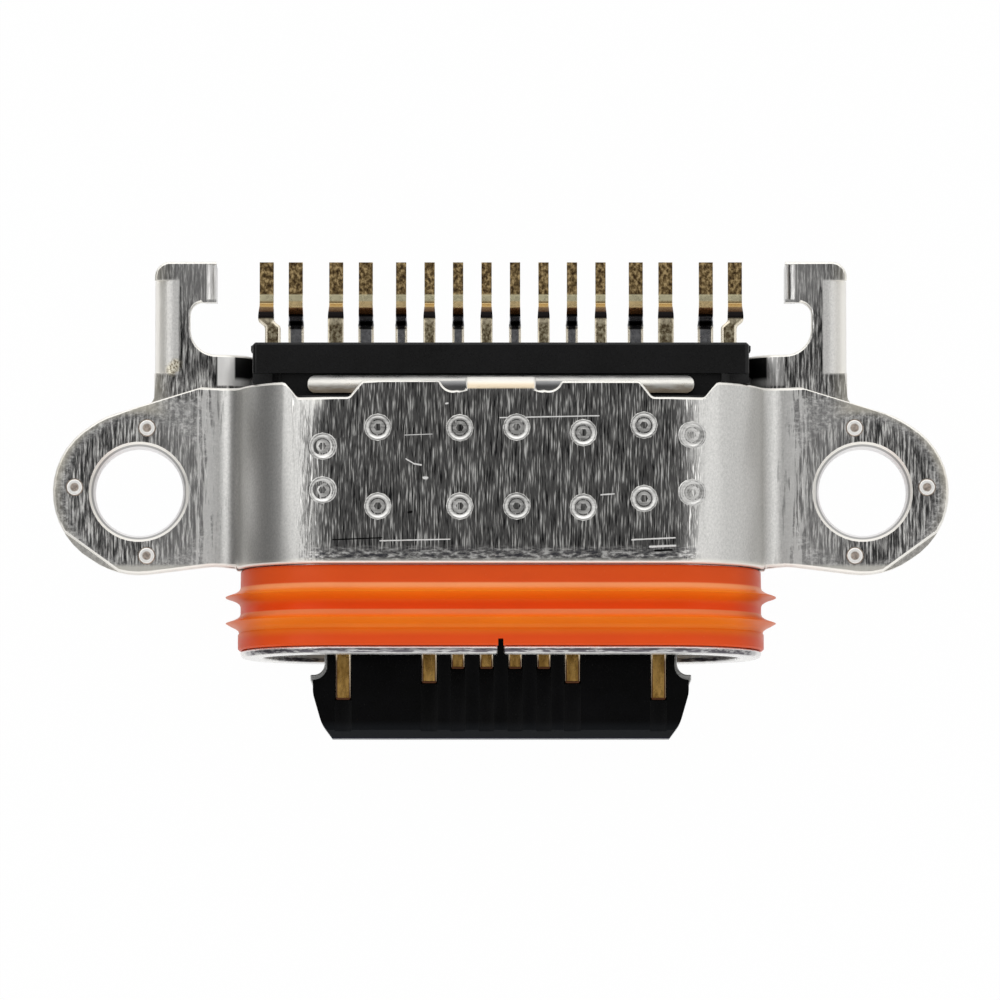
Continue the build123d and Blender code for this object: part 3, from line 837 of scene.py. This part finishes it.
class SatinSteel(Finish):
    """Satin stainless with faint rolling lines along X."""

    def __init__(
        self, name: str, colour: Colour, roughness: float, contrast: float = 0.25, relief: float = 0.003
    ) -> None:
        """Lays the finish.

        Args:
            name: The material's name.
            colour: Its middle tone.
            roughness: Its middle roughness.
            contrast: How far its tones stray, as a share.
            relief: The depth of its lines in millimetres.
        """
        super().__init__(name)
        self.cloud = self.noise((2.2, 2.2, 2.2))
        lines = self.noise((1.3, 24, 24))
        tone = self.maths("ADD", self.times(lines, 0.5), self.times(self.cloud, 0.5))
        low = tuple(channel * (1 - contrast) for channel in colour)
        high = tuple(min(channel * (1 + contrast), 1.0) for channel in colour)
        self.tones = self.ramp(tone, (0.35, low), (0.5, colour), (0.65, high))
        rough = self.span(tone, 0.35, 0.65, roughness - 0.06, roughness + 0.08)
        self.surface(self.tones, 1.0, rough, tone, relief, 0.5)


class MouthSteel(SatinSteel):
    """The mouth's satin steel, with a pale front flange painted as a highlight and a painted dark reflection
    line round its rim.
    """

    flange_rear: float = -2.45
    line_front: float = -2.915
    line_rear: float = -2.815
    line_soft: float = 0.025

    def __init__(self) -> None:
        """Lays the satin, then the flange over it."""
        super().__init__("Mouth steel", (0.66, 0.64, 0.63), 0.24, 0.2)
        along = self.place("Y")
        flange = self.fade(along, self.flange_rear - 0.02, self.flange_rear + 0.02)
        start, end, soft = self.line_front, self.line_rear, self.line_soft
        # A painted dark reflection line round the flange's rim, on its top and bottom.
        line = self.times(
            self.window(along, start, start + soft, end - soft, end),
            self.span(self.noise((3.2, 18, 9), 4, 0.66), 0.42, 0.54, 0.55, 1.0),
            self.span(self.maths("ABSOLUTE", self.place("Z")), 0.4, 0.9),
        )
        # The flange's pale tone is a painted highlight.
        pale = self.ramp(self.cloud, (0.35, (0.78, 0.77, 0.76)), (0.6, (0.95, 0.94, 0.91)))
        self.set("Base Color", self.mix(flange, self.tones, self.mix(line, pale, (0.09, 0.08, 0.095))))
        self.set("Metallic", self.span(flange, 0.0, 1.0, 1.0, 0.5))


class StripSteel(Finish):
    """The bent strip: pale satin steel, with painted shade where it runs under the arch, painted brown shade
    along its front edge and painted shadow under the strap's notches.
    """

    pale: Colour = (0.85, 0.84, 0.82)
    shade_grey: Colour = (0.46, 0.45, 0.42)
    brown_shade: Colour = (0.26, 0.20, 0.13)
    notch: Colour = (0.16, 0.16, 0.16)

    def __init__(self) -> None:
        """Lays the finish."""
        super().__init__("Strip steel")
        cloud = self.noise((3, 12, 12))
        along = self.place("Y")
        uneven = self.maths("ADD", along, self.span(cloud, 0.3, 0.7, -0.04, 0.04))
        # Painted shade: grey under the arch's rear edge, brown along the front edge, dark in the notches.
        notch_shadow = self.times(self.fade(self.side(), 1.3, 1.4), self.fade(along, 1.82, 1.86))
        colour = self.coats(
            self.shade_grey, (self.span(along, 1.84, 1.93), self.pale),
            (self.fade(uneven, 1.66, 1.78, 0.8), self.brown_shade), (notch_shadow, self.notch),
        )
        self.surface(colour, 1.0, self.span(cloud, 0.3, 0.7, 0.26, 0.38), cloud, 0.004, 0.5)


class EarWeldSteel(Finish):
    """The ears' small welds: a raised ring painted pale as a highlight round a brownish hollow."""

    # Painted highlight colour of the raised ring.
    ring: Colour = (0.95, 0.94, 0.91)
    hollow: Colour = (0.24, 0.20, 0.17)
    hollow_light: Colour = (0.48, 0.40, 0.34)

    def __init__(self, sheet_top: float) -> None:
        """Lays the finish.

        Args:
            sheet_top: The height of the ears' upper face in millimetres.
        """
        super().__init__("Ear weld steel")
        cloud = self.noise((22, 22, 22), 3)
        # The raised ring, found by its height, takes the painted highlight.
        rise = self.span(self.place("Z"), sheet_top + 0.002, sheet_top + 0.007)
        hollow = self.mix(self.span(cloud, 0.35, 0.65), self.hollow, self.hollow_light)
        rough = self.span(cloud, 0.3, 0.7, 0.3, 0.42)
        self.surface(self.mix(rise, hollow, self.ring), 0.4, rough, cloud, 0.004, 0.4)


class OrangeSilicone(Finish):
    """Smooth orange silicone with painted light on its lips, painted shade towards the ends of the oval and a
    faint bloom.
    """

    body: Colour = (0.81, 0.098, 0.011)
    valley: Colour = (1.0, 0.098, 0.0)
    lip_light: Colour = (1.0, 0.235, 0.012)
    lip_rear_highlight: Colour = (1.0, 0.36, 0.13)
    nose: Colour = (0.89, 0.096, 0.011)
    half: float = 0.15

    def __init__(self) -> None:
        """Lays the finish from the front backwards, then its uneven tone, its painted shade at the ends and
        its dust.
        """
        super().__init__("Orange silicone")
        along = self.place("Y")
        cloud = self.noise((0.9, 3.0, 1.2), 4, 0.5)
        dust = self.noise((26, 26, 26), 3)
        colour = self.nose
        # Painted light on each lip: lighter front flanks and a painted highlight on the rear flank just
        # behind the tip.
        for tip, (start, end), behind, reach in (
            (LIP_TIPS[1], (2.2, 1.0), self.valley, 1.15),
            (LIP_TIPS[0], (1.5, 0.2), self.body, 1.2),
        ):
            colour = self.coats(
                colour, (self.span(along, tip - start * self.half, tip - end * self.half), self.lip_light),
                (self.span(along, tip + 0.03, tip + 0.10), self.lip_rear_highlight),
                (self.span(along, tip + 0.95 * self.half, tip + reach * self.half), behind),
            )
        # Uneven tone, dust, and painted shade towards the ends of the oval.
        colour = self.coats(
            colour, (self.span(cloud, 0.3, 0.7, 0.0, 0.12), (0.55, 0.04, 0.002)),
            (self.span(dust, 0.66, 0.74, 0.0, 0.10), (0.95, 0.42, 0.22)),
            (self.span(self.side(), 4.0, 4.6, 0.0, 0.5), (0.50, 0.045, 0.004)),
        )
        self.surface(colour, 0.0, self.span(cloud, 0.3, 0.7, 0.32, 0.42), dust, 0.002, 0.25)
        self.set("Specular IOR Level", 0.16)


class BlackInsulator(Finish):
    """Black glass-filled moulding with a fine grain, with a painted bluish sheen towards the tongue's front
    and a stronger painted blue sheen line along its front edge.
    """

    def __init__(self, name: str, colour: Colour, dusty: Colour, specular: float) -> None:
        """Lays the finish.

        Args:
            name: The material's name.
            colour: Its darkest tone.
            dusty: Its lightest tone.
            specular: How much it reflects.
        """
        super().__init__(name)
        grain = self.noise((32, 32, 32), 4, 0.65)
        along = self.place("Y")
        tone = self.coats(
            self.ramp(self.noise((1.4, 1.4, 1.4)), (0.35, colour), (0.75, dusty)),
            # Painted bluish sheen towards the tongue's front, and a stronger painted blue sheen line along
            # its front edge.
            (self.fade(along, -4.15, -4.0), (0.008, 0.009, 0.0105)),
            (self.fade(along, -4.31, -4.29), (0.003, 0.0035, 0.012)),
        )
        self.surface(tone, 0.0, self.span(grain, 0.3, 0.7, 0.26, 0.36), grain, 0.003, 0.3)
        self.set("Specular IOR Level", specular)


class CuredSealant(Finish):
    """Greyish cured potting with soft waves."""

    def __init__(self) -> None:
        """Lays the finish."""
        super().__init__("Cured sealant")
        waves = self.noise((2.5, 2.5, 2.5), 3, 0.5)
        colour = self.ramp(waves, (0.3, (0.09, 0.088, 0.08)), (0.7, (0.144, 0.1408, 0.128)))
        self.surface(colour, 0.0, self.span(waves, 0.3, 0.7, 0.16, 0.3), waves, 0.02, 0.4)


class GoldPlate(Finish):
    """Gold over nickel: brown rough feet, with painted highlights on the side rims and bends and painted
    shade on the risers and front faces.
    """

    gold: Colour = (0.66, 0.40, 0.12)
    shaded: Colour = (0.36, 0.20, 0.05)
    shadow: Colour = (0.006, 0.005, 0.005)
    # Painted highlight colour of the leads' side rims.
    rim: Colour = (1.0, 0.92, 0.76)
    in_housing: float = 2.28
    bend: float = 3.16
    bright: float = 3.26
    pale: float = 3.375
    foot: float = 3.49

    def __init__(self, row: Row) -> None:
        """Lays one row's finish, with painted light and shade in bands along each lead; the lower row's leads
        are grey where they leave the housing.

        Args:
            row: The row.
        """
        super().__init__(f"Gold plate {row.value} row")
        speckle = self.noise((17, 13, 17), 4, 0.66)
        cloud = self.noise((9, 3, 9), 3)
        along = self.place("Y")
        gold = self.mix(self.span(cloud, 0.35, 0.65), self.gold, self.shaded)
        brown = self.ramp(
            speckle, (0.36, (0.05, 0.03, 0.015)), (0.5, (0.17, 0.115, 0.05)), (0.64, (0.46, 0.34, 0.17))
        )
        if row is Row.UPPER:
            riser = 3.03
            base = self.ramp(
                speckle, (0.4, (0.14, 0.10, 0.055)), (0.5, (0.26, 0.215, 0.13)), (0.62, (0.52, 0.46, 0.32))
            )
            # A painted cream highlight on the base just behind the riser.
            base = self.mix(self.span(along, 2.90, 3.0, 0.0, 0.6), base, (0.75, 0.66, 0.48))
            brown_shade, glint, middle = (0.11, 0.045, 0.016), (0.42, 0.30, 0.14), []
        else:
            riser = 2.97
            base = self.mix(self.span(speckle, 0.3, 0.7), (0.17, 0.17, 0.18), (0.28, 0.28, 0.29))
            brown_shade, glint = (0.55, 0.24, 0.09), (0.82, 0.62, 0.32)
            middle = [(3.05, (0.60, 0.60, 0.64)), (3.12, (0.012, 0.01, 0.01))]
        # Bands along each lead: the base, painted shadow on the riser, on the lower row a painted light band
        # and painted shadow, painted brown shade in the bend, a painted glint, a pale painted highlight and
        # the brown rough foot.
        zones = [
            (self.in_housing, base), (riser, self.shadow), *middle, (self.bend, brown_shade),
            (self.bright, glint), (self.pale, (0.70, 0.64, 0.42)), (self.foot, brown),
        ]
        on_riser = self.window(along, riser - 0.03, riser, self.bright, self.bright + 0.02)
        on_foot = self.span(along, self.foot - 0.03, self.foot)
        # Painted shade on the contacts' front faces.
        tip = self.times(self.span(self.facing("Y"), 0.04, 0.15), self.fade(along, -3.0, -2.8))
        # Painted highlights on the leads' side rims.
        rim_highlights = self.times(
            self.span(self.facing("X"), 0.12, 0.45), self.rest(self.most(on_riser, on_foot)), self.rest(tip)
        )
        colour = self.coats(
            gold, *((self.span(along, start - 0.018, start + 0.018), tone) for start, tone in zones),
            (tip, (0.05, 0.02, 0.01)), (rim_highlights, self.rim),
        )
        rough = self.maths("ADD", self.span(speckle, 0.35, 0.65, 0.26, 0.36), self.times(on_foot, 0.14))
        self.surface(colour, self.span(rim_highlights, 0.0, 1.0, 1.0, 0.5), rough, speckle, 0.004, 0.35)


@dataclass
class Brackets:
    """The two stamped straps with their rolled edges and spot welds, in millimetres."""

    rim: float = 0.05
    short_edge: float = 0.009
    short_leg_edge: float = 0.016
    sheet: float = 0.20
    arch_radius: float = 1.74
    hook_bend: float = 5.24
    hook_front: float = 3.3
    leg_front: float = 1.7
    flange_start: float = 5.69
    flange_ends: tuple[float, float] = (2.1, 3.74)
    weld_columns: tuple[Point, ...] = (
        (-3.09, 0.67, -0.09), (-2.13, 1.00, -0.37), (-0.71, 0.99, -0.37), (0.275, 1.00, -0.37),
        (1.43, 0.905, -0.39), (2.48, 1.035, -0.24), (3.32, 0.87, -0.13),
    )
    weld_reach: float = 0.28
    hole_reach: float = 1.0
    ear_spot_ring: float = 1.13
    ear_spot_angles: tuple[float, ...] = (-97, 4, 97)
    crater: tuple[tuple[float, float], ...] = (
        (0.0, -0.001), (0.02, -0.003), (0.045, -0.010), (0.07, -0.016), (0.10, -0.019),
        (0.135, -0.0205), (0.16, -0.019), (0.18, -0.012), (0.195, -0.003), (0.21, 0.002), (0.225, 0.001),
        (0.24, -0.005), (0.25, -0.013), (0.25, -0.03), (0.0, -0.03),
    )
    button: tuple[tuple[float, float], ...] = (
        (0.0, 0.003), (0.03, 0.0025), (0.06, 0.002), (0.085, 0.006), (0.105, 0.010), (0.125, 0.009),
        (0.143, -0.002), (0.155, -0.016), (0.155, -0.03), (0.0, -0.03),
    )

    def weld_places(self) -> list[tuple[Point, float]]:
        """Finds where the spot welds stand on the arch.

        Returns:
            Place and lean in degrees of each one.
        """
        places = []
        for x, rear_y, front_y in self.weld_columns:
            past = max(abs(x) - FLAT_HALF, 0)
            height = math.sqrt(self.arch_radius**2 - past**2)
            lean = math.copysign(math.degrees(math.asin(past / self.arch_radius)), x)
            places += [((x, y, height), lean) for y in (rear_y, front_y)]
        return places

    def ear_places(self) -> list[tuple[Point, float]]:
        """Finds where the small welds stand on the ears.

        Returns:
            Place of each one, with no lean.
        """
        places = []
        for angle in self.ear_spot_angles:
            x = HOLE_X + self.ear_spot_ring * math.cos(math.radians(angle))
            y = self.ear_spot_ring * math.sin(math.radians(angle))
            places += [((x, y, self.sheet), 0.0), ((-x, y, self.sheet), 0.0)]
        return places

    def away_from_marks(self, middle: Vector) -> bool:
        """Whether an edge lies clear of every weld mark and of the ear holes.

        Args:
            middle: The edge's middle in millimetres.

        Returns:
            True if the edge is to be rounded.
        """
        places = self.weld_places() + self.ear_places()
        from_hole = math.hypot(abs(middle.x) - HOLE_X, middle.y)
        clear = all((middle - Vector(place)).length > self.weld_reach for place, _ in places)
        return from_hole > self.hole_reach and clear

    def away_from_bends(self, middle: Vector) -> bool:
        """Whether an edge is on the legs and clear of their bent-down hook ends and flange ends.

        Args:
            middle: The edge's middle in millimetres.

        Returns:
            True if the edge is to be rounded.
        """
        reach = abs(middle.x)
        hook_end = reach < self.hook_bend and middle.y > self.hook_front
        flange_end = reach > self.flange_start and min(abs(middle.y - end) for end in self.flange_ends) < 0.01
        return middle.y > self.leg_front and not hook_end and not flange_end

    def weld_bead(self, name: str, profile: Sequence[tuple[float, float]]) -> bpy.types.Object:
        """One round weld mark, spun round its axis.

        Args:
            name: The piece's name.
            profile: Radius and height of its section's corners in millimetres.

        Returns:
            The weld mark at the origin.
        """
        bead = draw_profile(name, [(radius, 0, height) for radius, height in profile])
        bpy.ops.mesh.spin(steps=32, angle=math.tau, center=(0, 0, 0), axis=(0, 0, 1))
        close_mesh(bead)
        smooth(bead, 50)
        return bead

    def scatter(
        self, name: str, pattern: bpy.types.Object, places: list[tuple[Point, float]]
    ) -> bpy.types.Object:
        """Copies a weld mark to its places and joins the copies into one piece.

        Args:
            name: The joined piece's name.
            pattern: The mark at the origin, which is removed afterwards.
            places: Place in millimetres and lean in degrees of each copy.

        Returns:
            The joined piece.
        """
        copies = []
        for place, lean in places:
            copy = bpy.data.objects.new(name, pattern.data.copy())
            bpy.context.scene.collection.objects.link(copy)
            copy.location = Vector(place) * MM
            copy.rotation_euler = (0, math.radians(lean), 0)
            pick(copy)
            bpy.ops.object.transform_apply(location=True, rotation=True, scale=True)
            copies.append(copy)
        clear_selection()
        for copy in copies:
            copy.select_set(True)
        bpy.context.view_layer.objects.active = copies[0]
        bpy.ops.object.join()
        bpy.data.objects.remove(pattern)
        copies[0].name = name
        return copies[0]

    def build(self) -> None:
        """Makes both straps and the weld marks."""
        steel = BrushedSheet().material
        upper = copy_node("upper_bracket", "upper_strap")
        close_mesh(upper, self.short_edge)
        # Short edges at the rear dips' outer ends and beside the relief notches would spike under the bevel.
        close_mesh(upper, 0.045, lambda corner: 3.62 < abs(corner.x) < 3.95 and corner.y > 1.6)
        close_mesh(upper, 0.031, lambda corner: 0.70 < abs(corner.x) < 0.74 and 1.62 < corner.y < 1.69)
        round_edges(upper, self.rim, test=self.away_from_marks, clamp=False)
        dress(upper, steel, Slot.BRACKET, "upper_bracket")
        lower = copy_node("lower_bracket", "lower_strap")
        close_mesh(lower, self.short_leg_edge)
        round_edges(lower, self.rim, test=self.away_from_bends, clamp=False)
        dress(lower, steel, Slot.BRACKET, "lower_bracket")
        bead_steel = SatinSteel("Weld steel", (0.50, 0.495, 0.48), 0.30, 0.4, 0.006).material
        spot_steel = EarWeldSteel(self.sheet).material
        welds = self.scatter("arch_welds", self.weld_bead("arch_weld", self.crater), self.weld_places())
        dress(welds, bead_steel, Slot.BRACKET)
        spots = self.scatter("ear_welds", self.weld_bead("ear_weld", self.button), self.ear_places())
        dress(spots, spot_steel, Slot.BRACKET)


@dataclass
class MouthAndSeal:
    """The oval mouth with its rolled rim and the silicone ring with two lips, in millimetres."""

    seal_inner: float = 1.54
    seal_base: float = 1.67
    seal_nose: float = 1.72
    seal_rear: float = -1.38
    seal_front: float = -2.78
    nose_start: float = 0.20
    corner: float = 0.03
    flank: tuple[tuple[float, float], ...] = (
        (0.165, 0.004), (0.12, 0.022), (0.08, 0.075), (0.045, 0.15), (0.02, 0.23), (0.006, 0.264),
    )
    notch: Point = (0.045, 0.12, 0.2)
    turn_steps: int = 40
    flat_steps: int = 24
    rim: float = 0.04
    rim_reach: float = 0.5

    def seal_profile(self) -> list[Point]:
        """The ring's section above the middle, from its rear inner corner round to the front.

        Returns:
            The section's corners at X 0.
        """
        first, second = LIP_TIPS
        rear, base, nose, corner = self.seal_rear, self.seal_base, self.seal_nose, self.corner
        section = [(rear, self.seal_inner), (rear, base - corner), (rear - corner, base)]
        section += [(first + reach, base + height) for reach, height in self.flank]
        section += [(first - reach, base + height) for reach, height in reversed(self.flank)]
        section += [(second + reach, base + height) for reach, height in self.flank]
        middle = (base + nose) / 2
        section += [(second - reach, middle + height) for reach, height in reversed(self.flank[:-2])]
        section += [(second - self.nose_start, nose), (self.seal_front + corner, nose)]
        section += [(self.seal_front, nose - corner), (self.seal_front, self.seal_inner)]
        return [(0, y, radius) for y, radius in section]

    def sweep_oval(self, name: str, profile: list[Point]) -> bpy.types.Object:
        """Takes a closed section once round the oval: half turns at the ends, straight runs between.

        Args:
            name: The piece's name.
            profile: The section's corners above the middle, at X 0.

        Returns:
            The closed ring.
        """
        ring = draw_profile(name, profile)
        bpy.ops.mesh.edge_face_add()
        bpy.ops.mesh.delete(type="ONLY_FACE")
        bpy.ops.mesh.select_all(action="SELECT")
        half = Vector((FLAT_HALF * MM, 0, 0))
        bpy.ops.transform.translate(value=-half)
        for side in (1, -1):
            for _ in range(self.flat_steps):
                step = {"value": half * 2 * side / self.flat_steps}
                bpy.ops.mesh.extrude_edges_move(TRANSFORM_OT_translate=step)
            centre = half * side
            bpy.ops.mesh.spin(steps=self.turn_steps, angle=math.pi, center=centre, axis=(0, -1, 0))
        close_mesh(ring)
        smooth(ring, 40)
        return ring

    def cut_notch(self, ring: bpy.types.Object) -> None:
        """Cuts the small notch over the shell's seam into the ring's front edge.

        Args:
            ring: The seal, from which a box with the notch's half sides is taken.
        """
        clear_selection()
        place = Vector((0, self.seal_front, self.seal_base)) * MM
        bpy.ops.mesh.primitive_cube_add(size=2 * MM, location=place, scale=self.notch)
        cutter = bpy.context.object
        pick(ring)
        cut = ring.modifiers.new("Seam notch", "BOOLEAN")
        cut.operation = "DIFFERENCE"
        cut.object = cutter
        apply_modifiers(ring)
        bpy.data.objects.remove(cutter)
        smooth(ring, 40)

    def build(self) -> None:
        """Makes the mouth shell and the seal."""
        shell = copy_node("mouth_shell", "oval_mouth")
        round_edges(shell, self.rim, test=lambda middle: middle.y < self.seal_front + self.rim_reach)
        dress(shell, MouthSteel().material, Slot.SHELL, "mouth_shell")
        seal = self.sweep_oval("lip_seal", self.seal_profile())
        self.cut_notch(seal)
        dress(seal, OrangeSilicone().material, Slot.SEAL, "seal_ring")


@dataclass
class Insulators:
    """The mouldings, the sealant between them and their steel inserts, in millimetres."""

    edge: float = 0.02
    strip_edge: float = 0.03

    def build(self) -> None:
        """Makes the mouldings, the sealant and the inserts."""
        tongue = BlackInsulator("Black tongue", (0.001, 0.001, 0.001), (0.003, 0.003, 0.0035), 0.08)
        housing = BlackInsulator("Black housing", (0.003, 0.003, 0.003), (0.006, 0.006, 0.0065), 0.24)
        inner = SatinSteel("Inner plate steel", (0.55, 0.55, 0.54), 0.28)
        for node, name, finish, slot in (
            ("tongue", "contact_tongue", tongue, Slot.INSULATOR),
            ("rear_housing", "lead_housing", housing, Slot.INSULATOR),
            ("potting_seal", "sealant_plug", CuredSealant(), Slot.POTTING),
            ("latch_plate", "latch_side_plate", inner, Slot.INNER),
            ("upper_shield_plate", "upper_ground_plate", inner, Slot.INNER),
            ("lower_shield_plate", "lower_ground_plate", inner, Slot.INNER),
            ("rear_strap", "bent_strip", StripSteel(), Slot.STRAP),
        ):
            piece = copy_node(node, name)
            if slot is Slot.POTTING:
                smooth(piece)
            elif slot is Slot.STRAP:
                round_edges(piece, self.strip_edge)
            else:
                round_edges(piece, self.edge, 2)
            dress(piece, finish.material, slot, node)


@dataclass
class Terminals:
    """The sixteen gold contacts with their solder leads, in millimetres."""

    edge: float = 0.014
    base_edge: float = 0.045
    foot_front: float = 3.0
    count: int = 8

    def build(self) -> None:
        """Makes the contacts of both rows."""
        for row in Row:
            plate = GoldPlate(row).material
            for number in range(1, self.count + 1):
                node = f"{row.value}_terminal_{number}"
                lead = copy_node(node, f"{row.value}_lead_{number}")
                round_edges(lead, self.base_edge, test=lambda middle: middle.y < self.foot_front, clamp=False)
                round_edges(lead, self.edge, 2, 40, lambda middle: middle.y > self.foot_front)
                dress(lead, plate, Slot.GOLD, node)


@dataclass
class Studio:
    """Pale floor, white surroundings, soft lamps and the camera above the part, in millimetres.

    Attributes:
        cards: Name, place, half sides, turn about Y in degrees and tone of each card.
        lamps: Name, place, width, depth and power in milliwatts of each lamp.
    """

    elevation: float = 85.5
    distance: float = 150.0
    pixels_per_mm: float = 57.1
    image_size: int = 1000
    origin_pixel: tuple[float, float] = (500.8, 492.6)
    sensor: float = 36.0
    floor_half: float = 150.0
    floor_glow: float = 0.985
    world_level: float = 0.45
    cards: tuple[tuple[str, Point, tuple[float, float], float, float], ...] = (
        ("Overhead card", (0, 0, 190), (85, 85), 0, 0.30),
        ("Left card", (-200, 0, 50), (90, 120), 85, 0.03),
        ("Right card", (200, 0, 50), (90, 120), -85, 0.80),
        ("Left floor card", (-90, 0, -1.6), (78, 120), 0, 0.10),
    )
    lamps: tuple[tuple[str, Point, float, float, float], ...] = (
        ("Right lamp", (170, 20, 150), 200, 200, 42),
        ("Left lamp", (-120, 60, 190), 170, 200, 74),
        ("Rear lamp", (0, 210, 110), 320, 170, 215),
        ("Front lamp", (0, -210, 110), 320, 170, 155),
    )

    def aim(self) -> None:
        """Places the camera over the front edge, looking down on the part."""
        data = bpy.data.cameras.new("Top camera")
        data.sensor_width = self.sensor
        data.lens = self.sensor * self.distance * self.pixels_per_mm / self.image_size
        data.clip_start = 5 * MM
        data.clip_end = 5.0
        camera = bpy.data.objects.new("Top camera", data)
        bpy.context.scene.collection.objects.link(camera)
        middle = self.image_size / 2
        origin_x, origin_y = self.origin_pixel
        scale = self.pixels_per_mm
        target = Vector(((middle - origin_x) / scale, (origin_y - middle) / scale, 0))
        lean = math.radians(self.elevation)
        camera.location = (target + self.distance * Vector((0, -math.cos(lean), math.sin(lean)))) * MM
        camera.rotation_euler = (math.radians(90) - lean, 0, 0)
        bpy.context.scene.camera = camera

    def surround(self) -> None:
        """White world for what is seen, and a plain level of light for the rest."""
        world = bpy.data.worlds.new("Studio world")
        bpy.context.scene.world = world
        world.use_nodes = True
        nodes = Nodes(world.node_tree)
        background = nodes.tree.nodes["Background"]
        strength = nodes.span(nodes.seen_directly(), 0.0, 1.0, self.world_level, 1.0)
        nodes.plug(background.inputs["Strength"], strength)
        nodes.plug(background.inputs["Color"], (1.0, 1.0, 1.0))

    def lay_floor(self) -> None:
        """Pale floor under the part, which shows white and keeps a faint shadow."""
        clear_selection()
        bpy.ops.mesh.primitive_plane_add(size=2 * self.floor_half * MM, location=(0, 0, CAD_BOX[0][2]))
        floor = bpy.context.object
        floor.name = "Floor"
        finish = Finish("Pale floor")
        cloud = finish.noise((0.05, 0.05, 0.05), 2, 0.55)
        finish.set("Base Color", finish.ramp(cloud, (0.4, (0.90, 0.90, 0.90)), (0.6, (0.93, 0.93, 0.93))))
        finish.set("Roughness", 0.8)
        glow = finish.add("ShaderNodeEmission")
        share = finish.times(finish.seen_directly(), self.floor_glow)
        finish.blend(share, finish.shader.outputs[0], glow.outputs[0])
        floor.data.materials.append(finish.material)

    def hang_card(
        self, name: str, place: Point, half_sides: tuple[float, float], turn: float, tone: float
    ) -> None:
        """Hangs a plain card that only reflections see.

        Args:
            name: The card's name.
            place: Its middle in millimetres.
            half_sides: Half of its sides in millimetres.
            turn: Its turn about Y in degrees.
            tone: How bright it looks, from 0 to 1.
        """
        clear_selection()
        bpy.ops.mesh.primitive_plane_add(size=2 * MM, location=Vector(place) * MM)
        card = bpy.context.object
        card.name = name
        card.scale = (*half_sides, 1)
        card.rotation_euler = (0, math.radians(turn), 0)
        finish = Finish(f"{name} finish")
        glow = finish.add("ShaderNodeEmission")
        finish.plug(glow.inputs["Color"], (tone, tone, tone))
        clear = finish.add("ShaderNodeBsdfTransparent")
        glossy = finish.add("ShaderNodeLightPath").outputs["Is Glossy Ray"]
        finish.blend(glossy, clear.outputs[0], glow.outputs[0])
        card.data.materials.append(finish.material)

    def hang_lamp(self, name: str, place: Point, width: float, depth: float, power: float) -> None:
        """Hangs a soft lamp that faces the part.

        Args:
            name: The lamp's name.
            place: Its middle in millimetres.
            width: Its width in millimetres.
            depth: Its depth in millimetres.
            power: Its power in milliwatts.
        """
        data = bpy.data.lights.new(name, "AREA")
        data.shape = "RECTANGLE"
        data.size = width * MM
        data.size_y = depth * MM
        data.energy = power * MM
        lamp = bpy.data.objects.new(name, data)
        bpy.context.scene.collection.objects.link(lamp)
        lamp.location = Vector(place) * MM
        lamp.rotation_euler = (-Vector(place)).to_track_quat("-Z", "Y").to_euler()

    def build(self) -> None:
        """Sets up the camera, floor, world, cards and lamps."""
        bpy.context.scene.view_settings.view_transform = "Standard"
        self.aim()
        self.surround()
        self.lay_floor()
        for card in self.cards:
            self.hang_card(*card)
        for lamp in self.lamps:
            self.hang_lamp(*lamp)


def main() -> None:
    """Builds every piece in order and reports it."""
    logging.basicConfig(level=logging.INFO, format="%(name)s: %(message)s")
    for assembly in (Brackets(), MouthAndSeal(), Insulators(), Terminals(), Studio()):
        assembly.build()
        log.info("%s done", type(assembly).__name__)
    clear_selection()


if __name__ == "__main__":
    main()
